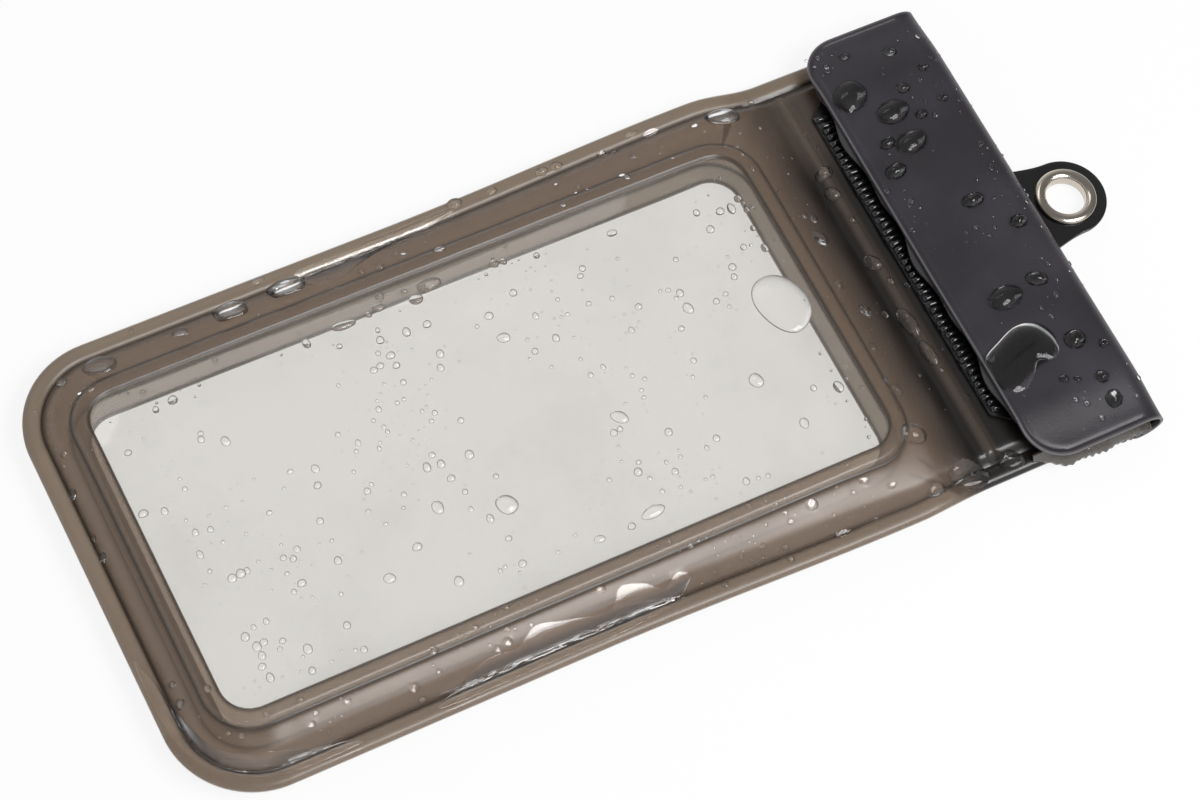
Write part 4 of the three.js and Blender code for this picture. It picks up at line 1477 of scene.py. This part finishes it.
        def pane_density(x: Array, y: Array) -> Array:
            """Where small drops lie on the window."""
            clumps = smooth(0.5 + 0.8 * ripple(x, y, 40.0, 33))
            return (form.window_distance(x, y) < -0.8) * clumps * on_pane.dry(x, y)

        def flap_density(x: Array, y: Array) -> Array:
            """Where small drops lie on the flap."""
            inside = (np.abs(x) < flap.half_width - 1.5) & (y > flap.edge + 1.2)
            clumps = smooth(0.35 + 0.9 * ripple(x, y, 22.0, 45))
            return inside * clumps * on_flap.dry(x, y)

        sides = np.array([-47.0, 47.0])
        ends = np.array([form.bottom + 1, flap.edge + 1])
        flap_ends = np.array([flap.edge, flap.edge + flap.run + 6])
        return [
            on_film.build(),
            on_pane.build(),
            on_flap.build(),
            spray.build("film_spray", film, sides, ends, film_density, most=34.0, largest=0.75),
            spray.build("window_spray", pane, sides, ends, pane_density, most=18.0, largest=0.9),
            spray.build("flap_spray", top, sides, flap_ends, flap_density, most=40.0, largest=0.7),
        ]


@dataclass
class Flap:
    """The fold-over flap: its outer ply and its lining."""

    thickness: float = 0.6
    lining: float = 0.4
    gap: float = 0.1
    inset: float = 0.8
    corner_radius: float = 8.0
    tail: float = 14.0
    tail_taper: float = 2.6
    level_half_width: float = 37.0
    end_droop: float = 1.6
    weld_inset: float = 1.1
    lining_lip: float = 2.3
    sag: float = 0.16
    seam_depth: float = 0.22
    seam_width: float = 0.28
    cell: float = 0.45
    corner_rows: int = 18
    columns: int = 170
    fine_end: float = 3.0

    def __post_init__(self) -> None:
        """Reads the flap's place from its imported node."""
        low, high = box_mm("flap_outer")
        self.half_width = high[0]
        self.edge = low[1]
        self.nose = high[1]
        self.under = low[2]
        self.top = high[2]
        self.radius = (self.top - self.under) / 2
        self.nose_centre = self.nose - self.radius
        self.centre_height = self.under + self.radius
        self.run = self.nose_centre - self.edge
        self.bend = math.pi * self.radius

    def point(self, x: Array, along: Array, depth: float) -> Array:
        """Points on a ply, measured from the free edge over the top, round the nose and underneath.

        Args:
            x: Places across the flap.
            along: Distances from the free edge along the flap's path.
            depth: Depth below the outer surface.

        Returns:
            The points in space.
        """
        radius = self.radius - depth
        turn = np.clip((along - self.run) / self.radius, 0, math.pi)
        past = np.maximum(along - self.run - self.bend, 0)
        before = np.minimum(along - self.run, 0)
        y = self.nose_centre + radius * np.sin(turn) + before - past
        z = self.centre_height + radius * np.cos(turn)
        ends = smooth((np.abs(x) - self.level_half_width) / (self.half_width - self.level_half_width))
        raised = (z - self.under) / (self.top - self.under)
        on_top = smooth((self.run + 2.0 - along) / 6.0)
        sag = self.sag * ripple(x, along, 46.0, 3, 2) * on_top * smooth((z - self.under) / 3.0)
        return np.stack([x, y, z - self.end_droop * ends * raised + sag], axis=1)

    def inward(self, x: Array, along: Array) -> Array:
        """Distance in from the free edge and the ends, round the corners."""
        short = self.corner_radius
        corner = (np.abs(x) > self.half_width - short) & (along < short)
        out = np.hypot(np.abs(x) - self.half_width + short, short - along)
        return np.where(corner, short - out, np.minimum(self.half_width - np.abs(x), along))

    def seam(self, x: Array, along: Array) -> Array:
        """How deep the welded line along the free edge and the ends is pressed in, in millimetres."""
        across = (self.inward(x, along) - self.weld_inset) / self.seam_width
        return self.seam_depth * np.exp(-(across**2))

    def _net(self, inset: float, tail: float) -> Net:
        """The plan of a ply, as rows across it from the free edge with its rounded corners."""
        half = self.half_width - inset
        round_ = self.corner_radius - inset
        corner = inset + round_ * (1 - np.cos(np.linspace(0, math.pi / 2, self.corner_rows)))
        end = self.run + self.bend + tail
        rows = np.concatenate([corner, np.arange(corner[-1] + self.cell, end, self.cell), [end]])
        short = np.maximum(self.corner_radius - rows, 0)
        halves = half - (round_ - np.sqrt(np.maximum(round_**2 - short**2, 0)))
        halves -= self.tail_taper * smooth((rows - self.run - self.bend) / 6.0)
        ends = np.array([0.0, 0.25, 0.5, 0.8, 1.1, 1.4, 1.8, 2.4]) / half
        fine = self.fine_end / half
        middle = np.linspace(-1 + fine, 1 - fine, self.columns)
        across = np.concatenate([-1 + ends, middle, (1 - ends)[::-1]])
        net = Net()
        net.rows([plan_row(across * h, s) for h, s in zip(halves, rows)])
        return net

    def _outer_top(self, x: Array, along: Array) -> Array:
        """The outer ply's upper surface, with the welded line pressed into it."""
        points = self.point(x, along, 0.0)
        points[:, 2] -= self.seam(x, along) * (along < self.run)
        return points

    def _lining_point(self, x: Array, along: Array, depth: float) -> Array:
        """Points on the lining, whose front edge reaches out below the outer ply in soft waves."""
        wave = self.lining_lip * (0.55 + 0.45 * np.sin(x * 0.33 + 0.8) * np.cos(x * 0.12))
        front = smooth((4.0 - along) / 4.0) * smooth((self.half_width - 6.0 - np.abs(x)) / 6.0)
        points = self.point(x, along - wave * front, depth)
        points[:, 2] -= (0.3 + 0.2 * np.sin(x * 0.27)) * front
        return points

    def build(self, wetting: Wetting) -> list[bpy.types.Object]:
        """Builds the two plies.

        Args:
            wetting: The water that lies on the flap, which darkens the vinyl under it.

        Returns:
            The outer ply and the lining.
        """
        deep = self.thickness + self.gap
        outer, plan = solid_between(
            "flap_skin",
            self._net(0.0, self.tail),
            lambda x, along: self.point(x, along, self.thickness),
            self._outer_top,
            Finish.SATIN_VINYL,
        )
        inner, inner_plan = solid_between(
            "flap_inner_skin",
            self._net(self.inset, -self.bend / 8),
            lambda x, along: self._lining_point(x, along, deep + self.lining),
            lambda x, along: self._lining_point(x, along, deep),
            Finish.GLOSS_VINYL,
        )
        x, along = plan[:, 0], plan[:, 1]
        mark(outer, "wet", wetting.on_flap.cover(x, along + self.edge))
        mark(outer, "cut", smooth((0.45 - self.inward(x, along)) / 0.3))
        mark(inner, "cut", 0.35 * smooth((3.5 - inner_plan[:, 1]) / 2.0))
        for piece, node in ((outer, "flap_outer"), (inner, "flap_lining")):
            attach(piece, "root")
            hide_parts(node)
        return [outer, inner]


@dataclass
class ClosurePatch:
    """The vinyl patch under the flap: its ends curl up and a knurled weld runs along its foot."""

    foot_half_width: float = 35.0
    flare: float = 6.0
    level_half_width: float = 33.0
    curl: float = 1.3
    foot_lift: float = 0.09
    rib_pitch: float = 1.42
    rib_length: float = 3.3
    rib_width: float = 1.3
    rib_height: float = 0.8
    rib_line: float = 1.8
    rib_end_margin: float = 0.7
    rib_tilts: tuple[Triple, Triple] = ((-0.10, -0.14, -0.16), (0.10, 0.14, 0.16))
    rib_scales: tuple[Triple, Triple] = ((0.8, 0.8, 0.7), (1.05, 1.15, 1.2))
    columns: int = 181
    rows: int = 36
    seed: int = 5

    def __post_init__(self) -> None:
        """Reads the patch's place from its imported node."""
        low, high = box_mm("closure_patch")
        self.half_width = high[0]
        self.foot, self.end = low[1], high[1]
        self.under, self.upper = low[2], high[2]

    def lift(self, x: Array, y: Array) -> Array:
        """How far the patch stands off the film below it."""
        ends = smooth((np.abs(x) - self.level_half_width) / (self.half_width - self.level_half_width))
        foot = smooth((self.foot + 5.0 - y) / 4.0)
        curl = self.curl * ends * (0.8 + 0.2 * np.sin(y * 1.3 + x))
        return curl + self.foot_lift * foot * (1 + np.sin(x * 1.7) * np.cos(x * 0.31))

    def _net(self) -> Net:
        """The patch's plan: narrower at its foot."""
        rows = np.linspace(self.foot, self.end, self.rows)
        widen = np.clip((rows - self.foot) / self.flare, 0, 1)
        halves = self.foot_half_width + (self.half_width - self.foot_half_width) * widen
        across = np.linspace(-1, 1, self.columns)
        net = Net()
        net.rows([plan_row(across * h, y) for h, y in zip(halves, rows)])
        return net

    def _rib(self) -> bpy.types.Object:
        """One rounded rib of the knurl, which is copied."""
        u, v = np.linspace(-1, 1, 6), np.linspace(-1, 1, 7)
        net = Net()
        half_width, half_length = self.rib_width / 2, self.rib_length / 2
        net.rows([plan_row(u * half_width, row * half_length) for row in v])

        def crown(x: Array, y: Array) -> Array:
            """The rib's height over its plan."""
            round_ = np.sqrt(np.clip(1 - (x / half_width) ** 2, 0, 1) * np.clip(1 - (y / half_length) ** 4, 0, 1))
            return self.rib_height * round_ + 0.02

        made, _ = solid_between("rib", net, standing(lambda x, y: np.zeros_like(x)), standing(crown),
                                Finish.GLOSS_VINYL)
        return made

    def _knurl(self) -> bpy.types.Object:
        """The ribs along the foot, placed by Geometry Nodes."""
        tree = Recipe("knurl")
        rib = tree.input("Rib", "Object")
        pitch = tree.input("Pitch", "Float")
        seed = tree.input("Seed", "Int")
        finish = tree.input("Finish", "Material")
        line = tree.node("GeometryNodeMeshToCurve", {}, {0: tree.entry.outputs[0]})
        points = tree.node(
            "GeometryNodeCurveToPoints",
            {"mode": "LENGTH"},
            {"Curve": line.outputs[0], "Length": pitch},
        )
        tilt, size = (
            tree.node("FunctionNodeRandomValue", {"data_type": "FLOAT_VECTOR"}, {0: least, 1: most, "Seed": seed})
            for least, most in (self.rib_tilts, self.rib_scales)
        )
        shape = tree.node("GeometryNodeObjectInfo", {}, {"Object": rib})
        inputs = {
            "Points": points.outputs[0],
            "Instance": shape.outputs["Geometry"],
            "Rotation": tilt.outputs[0],
            "Scale": size.outputs[0],
        }
        ribs = tree.node("GeometryNodeInstanceOnPoints", {}, inputs)
        tree.finish(ribs.outputs[0], finish)
        reach = self.foot_half_width - self.rib_end_margin
        x = np.linspace(-reach, reach, 200)
        y = np.full_like(x, self.foot + self.rib_line) + 0.15 * np.sin(x * 0.4)
        path = np.stack([x, y, self.upper + self.lift(x, y) + 0.02], axis=1)
        base = bpy.data.meshes.new("knurl_path")
        base.from_pydata((path * MM).tolist(), [(i, i + 1) for i in range(len(x) - 1)], [])
        one = self._rib()
        values = {"Rib": one, "Pitch": self.rib_pitch * MM, "Seed": self.seed}
        made = tree.grow("patch_knurl", base, values, Finish.GLOSS_VINYL)
        bpy.data.objects.remove(one)
        return made

    def build(self) -> list[bpy.types.Object]:
        """Builds the patch and its knurl.

        Returns:
            The patch and the ribs along its foot.
        """
        patch, _ = solid_between(
            "patch",
            self._net(),
            standing(lambda x, y: self.under + self.lift(x, y)),
            standing(lambda x, y: self.upper + self.lift(x, y)),
            Finish.GLOSS_VINYL,
        )
        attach(patch, "root")
        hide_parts("closure_patch")
        return [patch, self._knurl()]


@dataclass
class TapePads:
    """The hook and loop tapes, with a napped face and soft edges."""

    edge: float = 0.6
    nap: float = 0.07
    columns: int = 129
    rows: int = 33

    def build(self) -> list[bpy.types.Object]:
        """Builds the two tapes.

        Returns:
            The loop tape and the hook tape.
        """
        return [self._pad("loop_pad", "loop_tape", 8), self._pad("hook_pad", "hook_tape", 9)]

    def _pad(self, name: str, node: str, seed: int) -> bpy.types.Object:
        """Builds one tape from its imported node's box."""
        low, high = box_mm(node)
        across = np.linspace(low[0], high[0], self.columns)
        net = Net()
        net.rows([plan_row(across, y) for y in np.linspace(low[1], high[1], self.rows)])
        middle = (low[2] + high[2]) / 2

        def half_height(x: Array, y: Array) -> Array:
            """Half the tape's thickness, less near its edges."""
            inward = np.minimum(np.minimum(x - low[0], high[0] - x), np.minimum(y - low[1], high[1] - y))
            soft = 0.55 + 0.45 * smooth(inward / self.edge)
            return (high[2] - middle - self.nap) * soft + self.nap * ripple(x, y, 2.2, seed, 2) * soft

        made, _ = solid_between(
            name,
            net,
            standing(lambda x, y: middle - half_height(x, y)),
            standing(lambda x, y: middle + half_height(x, y)),
            Finish.TAPE_FABRIC,
        )
        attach(made, "root")
        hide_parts(node)
        return made


@dataclass
class LanyardTab:
    """The vinyl tab with its eyelet and the washer under it."""

    end_radius: float = 8.2
    base_half_width: float = 10.2
    thickness: float = 0.8
    rise: float = 1.8
    rise_margin: float = 0.9
    rounding: float = 0.22
    bore_radius: float = 3.95
    barrel_radius: float = 4.45
    flange_radius: float = 6.15
    flange_height: float = 0.9
    rim: float = 0.18
    lip_radius: float = 5.2
    lip_bend: float = 0.5
    chamfer: float = 0.15
    washer: float = 0.4
    gap: float = 0.1
    sectors: int = 96

    def __post_init__(self) -> None:
        """Reads the tab's and the eyelet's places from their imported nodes."""
        low, _ = box_mm("lanyard_tab")
        ring_low, ring_high = box_mm("eyelet")
        _, flap_high = box_mm("flap_outer")
        self.tail = low[1]
        self.centre_x = (ring_low[0] + ring_high[0]) / 2
        self.centre_y = (ring_low[1] + ring_high[1]) / 2
        self.join = self.centre_y - self.end_radius
        self.base = flap_high[1] - (flap_high[2] - self.thickness - self.gap) / 2
        self.seat = self.rise + self.thickness + self.gap

    def _height(self, y: Array) -> Array:
        """Height of the tab's under surface along it."""
        start = self.base + self.rise_margin
        return self.rise * smooth((y - start) / (self.join - start))

    def _half_width(self, y: Array) -> Array:
        """Half the tab's width along it: a base that narrows to the round end."""
        past = np.maximum(y - self.centre_y, 0)
        round_ = np.sqrt(np.maximum(self.end_radius**2 - past**2, 0))
        taper = smooth((self.centre_y - y) / (self.centre_y - self.base))
        return round_ + (self.base_half_width - self.end_radius) * taper

    def _rounded(self, x: Array, y: Array) -> Array:
        """How far the tab's faces are drawn in near its edge."""
        reach = np.hypot(x, np.maximum(y - self.centre_y, 0))
        side = np.where(y > self.centre_y, self.end_radius - reach, self._half_width(y) - np.abs(x))
        short = np.clip(1 - side / self.rounding, 0, 1)
        return self.rounding * (1 - np.sqrt(np.maximum(1 - short**2, 0)))

    def _net(self) -> Net:
        """The tab's plan: a frame round its hole, and a tail that reaches under the flap."""
        quarter = self.sectors // 4
        columns = np.sin(np.linspace(-math.pi / 2, math.pi / 2, quarter + 1))
        join = plan_row(columns * self._half_width(np.array([self.join])), self.join)
        straight = 14
        side_y = np.linspace(self.join, self.centre_y, straight + 1)[1:]
        turn = np.linspace(0, math.pi, self.sectors - quarter - 2 * straight + 1)[1:-1]
        right = np.stack([self._half_width(side_y), side_y], axis=1)
        end = np.stack([self.end_radius * np.cos(turn), self.centre_y + self.end_radius * np.sin(turn)], axis=1)
        left = (right * (-1, 1))[::-1]
        outline = np.concatenate([join, right, end, left])
        angle = np.arctan2(outline[:, 1] - self.centre_y, outline[:, 0])
        hole_radius = self.barrel_radius + self.gap
        hole = np.stack([hole_radius * np.cos(angle), self.centre_y + hole_radius * np.sin(angle)], axis=1)
        net = Net()
        net.rings([outline + (hole - outline) * t for t in (0, 0.006, 0.014, 0.03, 0.06, 0.2, 0.6, 1.0)])
        rows = np.concatenate([np.linspace(self.tail, self.base, 9)[:-1], np.linspace(self.base, self.join, 25)])
        net.rows([plan_row(columns * h, y) for h, y in zip(self._half_width(rows), rows)])
        return net

    def _place(self, height: HeightOf) -> Callable[[Array, Array], Array]:
        """Turns a height over the tab's own plan into points on the pouch."""
        return lambda x, y: np.stack([x + self.centre_x, y, height(x, y)], axis=1)

    def _turned(self, name: str, profile: Array, node: str) -> bpy.types.Object:
        """Turns a closed profile of radii and heights about the eyelet's axis.

        Args:
            name: The piece's name.
            profile: Its points, anticlockwise with the radius to the right and the height up.
            node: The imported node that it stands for.

        Returns:
            The new ring.
        """
        turn = np.linspace(0, 2 * math.pi, self.sectors, endpoint=False)
        radius, height = profile[:, 0], profile[:, 1]
        x = self.centre_x + np.outer(np.cos(turn), radius)
        y = self.centre_y + np.outer(np.sin(turn), radius)
        points = np.stack([x, y, np.broadcast_to(height, x.shape)], axis=2).reshape(-1, 3)
        count = len(profile)
        faces = [
            [i * count + k, ((i + 1) % self.sectors) * count + k,
             ((i + 1) % self.sectors) * count + (k + 1) % count, i * count + (k + 1) % count]
            for i in range(self.sectors) for k in range(count)
        ]
        made = new_piece(name, points, faces, Finish.NICKEL)
        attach(made, "root")
        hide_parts(node)
        return made

    def _eyelet_profile(self) -> Array:
        """The eyelet's section: a rolled flange, the barrel and the lip turned out below."""
        middle = (self.bore_radius + self.flange_radius) / 2
        half = (self.flange_radius - self.bore_radius) / 2
        roll = np.linspace(0, math.pi, 25)
        height = self.seat + self.rim + (self.flange_height - self.rim) * np.sin(roll)
        crown = np.stack([middle + half * np.cos(roll), height], axis=1)
        lip_top = self.rise - self.gap - self.washer - self.gap
        turn = np.linspace(math.pi, 1.5 * math.pi, 7)
        bend = self.lip_bend
        lip = np.stack([self.barrel_radius + bend * np.cos(turn), lip_top + bend * np.sin(turn)], axis=1)
        foot = [
            (self.lip_radius - self.chamfer, lip_top - 0.42),
            (self.lip_radius, lip_top - 0.2),
            (self.lip_radius, lip_top),
            (self.barrel_radius, lip_top),
            (self.barrel_radius, self.seat),
            (self.flange_radius - self.chamfer, self.seat),
        ]
        return np.concatenate([crown, lip, foot])

    def _washer_profile(self) -> Array:
        """The washer's section, rounded along its outer edge."""
        top = self.rise - self.gap
        inner = self.barrel_radius + self.gap
        roll = np.linspace(-math.pi / 2, math.pi / 2, 9)
        half = self.washer / 2
        radius, height = self.flange_radius - half + half * np.cos(roll), top - half + half * np.sin(roll)
        edge = np.stack([radius, height], axis=1)
        return np.concatenate([[(inner, top - self.washer)], edge, [(inner, top)]])

    def build(self) -> list[bpy.types.Object]:
        """Builds the tab, the eyelet and the washer.

        Returns:
            The three pieces.
        """
        tab, _ = solid_between(
            "tab",
            self._net(),
            self._place(lambda x, y: self._height(y) + self._rounded(x, y)),
            self._place(lambda x, y: self._height(y) + self.thickness - self._rounded(x, y)),
            Finish.GLOSS_VINYL,
        )
        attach(tab, "root")
        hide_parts("lanyard_tab")
        eyelet = self._turned("eyelet_ring", self._eyelet_profile(), "eyelet")
        washer = self._turned("washer_ring", self._washer_profile(), "eyelet_washer")
        return [tab, eyelet, washer]


@dataclass
class MouthEnd:
    """The crushed end of the bag's mouth, which shows between the flap's two layers at its near end."""

    start: float = 62.0
    end: float = 87.8
    inner: float = 45.9
    bulge: float = 3.7
    top: float = 7.6
    bottom: float = 1.3
    middle: float = 4.5
    width: float = 10.0
    film: float = 0.35
    crush: float = 0.42
    crushed_from: float = 4.2
    lead: float = 7.0
    lead_pinch: float = 0.45
    tail: float = 6.0
    tail_pinch: float = 0.6
    columns: int = 40
    rows: int = 180

    def _crushed(self, t: Array) -> Array:
        """1 on the crushed strip along the lower edge, and 0 above it."""
        return smooth((t - self.crushed_from) / 1.6)

    def _point(self, s: Array, t: Array, depth: float) -> Array:
        """Points on the crushed film, with s along the pouch and t from its upper to its lower edge, in mm."""
        share = t / self.width
        taper = smooth((s - self.start) / self.lead) * smooth((self.end - s) / 2.0)
        creases = ripple(s, t * 0.8, 5.0, 71) + 0.5 * np.sin(s * 4.4 + 0.6 * np.sin(t)) * self._crushed(t)
        crush = self.crush * (0.35 + 0.65 * self._crushed(t)) * taper
        out = self.bulge * np.sin(math.pi * share) * (0.15 + 0.85 * taper) + crush * creases - depth
        pinch = smooth((s - self.end + self.tail) / self.tail)
        opening = smooth((self.start + self.lead - s) / self.lead)
        spread = 1 - self.tail_pinch * pinch - self.lead_pinch * opening
        low = self.top + (self.bottom - self.top) * share + 0.5 * crush * ripple(s, t, 4.0, 72)
        return np.stack([self.inner + out, s, self.middle + (low - self.middle) * spread], axis=1)

    def build(self) -> bpy.types.Object:
        """Builds the end of the mouth.

        Returns:
            The new piece.
        """
        net = Net()
        across = np.linspace(0, self.width, self.columns)
        along = np.linspace(self.start, self.end, self.rows)
        net.rows([np.stack([np.full_like(across, s), across], axis=1) for s in along])
        made, _ = solid_between(
            "mouth_end",
            net,
            lambda s, t: self._point(s, t, 0.0),
            lambda s, t: self._point(s, t, self.film),
            Finish.ZIP_PLASTIC,
        )
        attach(made, "root")
        return made


@dataclass
class Studio:
    """The camera, the floor and the soft light."""

    lens: float = 106.72
    location: Triple = (0.24442, -0.18963, 0.58786)
    right: Triple = (0.44867, 0.88881, 0.09333)
    up: Triple = (-0.81408, 0.36338, 0.45302)
    back: Triple = (0.36873, -0.27923, 0.88660)
    floor_gap: float = 0.00002
    floor_half: float = 3.0
    floor_glow: float = 0.88

    def build(self) -> None:
        """Sets up the whole studio."""
        self._camera()
        self._floor()
        self._world()
        self._lamp("side_box", place=(0.42, 0.25, 0.74), size=(0.52, 0.38), power=6.6)
        self._lamp("far_box", place=(-0.50, 0.04, 0.68), size=(0.42, 0.20), power=0.40)
        bpy.context.scene.view_settings.view_transform = "Standard"

    def _camera(self) -> None:
        """Stands the camera where the photograph was taken from."""
        data = bpy.data.cameras.new("camera")
        data.lens = self.lens
        data.sensor_width = 36.0
        data.sensor_fit = "HORIZONTAL"
        data.clip_start = 0.01
        camera = linked("camera", data)
        turn = Matrix((self.right, self.up, self.back)).transposed().to_4x4()
        camera.matrix_world = Matrix.Translation(self.location) @ turn
        bpy.context.scene.camera = camera

    def _floor(self) -> None:
        """Lays the floor just under the pouch."""
        level = CAD_BOX[0].z - self.floor_gap
        half = self.floor_half
        corners = [(-half, -half, level), (half, -half, level), (half, half, level), (-half, half, level)]
        mesh = bpy.data.meshes.new("floor")
        mesh.from_pydata(corners, [], [(0, 1, 2, 3)])
        graph = Graph("floor")
        paper = graph.principled(Base_Color=(0.86, 0.86, 0.86), Roughness=0.9, Specular_IOR_Level=0.1)
        glow = graph.node("ShaderNodeEmission", {}, {"Color": (1.0, 1.0, 1.0), "Strength": 1.0})
        seen = self._seen(graph)
        mesh.materials.append(graph.finish(graph.mix(seen * self.floor_glow, paper, glow)))
        floor = linked("floor", mesh)
        floor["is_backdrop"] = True

    @staticmethod
    def _seen(graph: Graph) -> Value:
        """1 for rays that show the background: from the camera, and through gloss and glass."""
        path = graph.node("ShaderNodeLightPath")
        camera, gloss, glass = (
            Value(graph, path.outputs[kind]) for kind in ("Is Camera Ray", "Is Glossy Ray", "Is Transmission Ray")
        )
        return camera.maximum(gloss).maximum(glass)

    @staticmethod
    def _world() -> None:
        """Lights the studio: white walls at the horizon, a dimmer ceiling and a dim end past the flap."""
        graph = Graph("studio", world=True)
        place = graph.node("ShaderNodeTexCoord").outputs["Generated"]
        split = graph.node("ShaderNodeSeparateXYZ", {}, {0: place})
        stops = {"stops": ((0.10, 1.0), (0.85, 0.22))}
        walls = graph.node("ShaderNodeValToRGB", stops, {0: split.outputs["Z"]}).outputs["Color"]
        dim = Value(graph, split.outputs["Y"]).band(0.35, 0.85) * 0.8
        sky = graph.blend(dim, walls, (0.10, 0.10, 0.10))
        path = graph.node("ShaderNodeLightPath")
        shown = graph.blend(Value(graph, path.outputs["Is Camera Ray"]), sky, (1.0, 1.0, 1.0))
        bpy.context.scene.world = graph.finish(graph.node("ShaderNodeBackground", {}, {"Color": shown}))

    @staticmethod
    def _lamp(name: str, place: Triple, size: tuple[float, float], power: float) -> None:
        """Hangs one soft box that faces the pouch.

        Args:
            name: The lamp's name.
            place: Where it hangs, in metres.
            size: Its width and height, in metres.
            power: Its power in watts.
        """
        data = bpy.data.lights.new(name, "AREA")
        data.shape = "RECTANGLE"
        data.size, data.size_y = size
        data.energy = power
        lamp = linked(name, data)
        lamp.location = place
        lamp.rotation_euler = Vector(place).to_track_quat("Z", "Y").to_euler()


def dress_packed_nodes() -> None:
    """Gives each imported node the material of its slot, in place of the plain one that it came with."""
    for plain in list(bpy.data.materials):
        bpy.data.materials.remove(plain)
    for part in frame["record"]["subparts"]:
        node = frame["nodes"][part["node"]]
        node.data.materials.clear()
        node.data.materials.append(Finish[part["material_slot"].upper()].material())


def write_sizes() -> None:
    """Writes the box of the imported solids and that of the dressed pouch."""
    boxes = {"cad": CAD_BOX, "visual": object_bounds()}
    plain = {name: [list(corner) for corner in box] for name, box in boxes.items()}


def main() -> None:
    """Builds the pouch, its water and the studio, and reports each piece."""
    logging.basicConfig(level=logging.INFO, format="%(name)s: %(message)s")
    dress_packed_nodes()
    form, flap = PouchForm(), Flap()
    wetting = Wetting(form, flap)
    pieces = [
        *FilmBag(form, PouchPlan(form), wetting).build(),
        *ClosurePatch().build(),
        *TapePads().build(),
        *flap.build(wetting),
        *LanyardTab().build(),
        MouthEnd().build(),
        *wetting.build(),
    ]
    for piece in pieces:
        LOG.info("%s: %d faces", piece.name, len(piece.data.polygons))
    Studio().build()
    write_sizes()


if __name__ == "__main__":
    main()
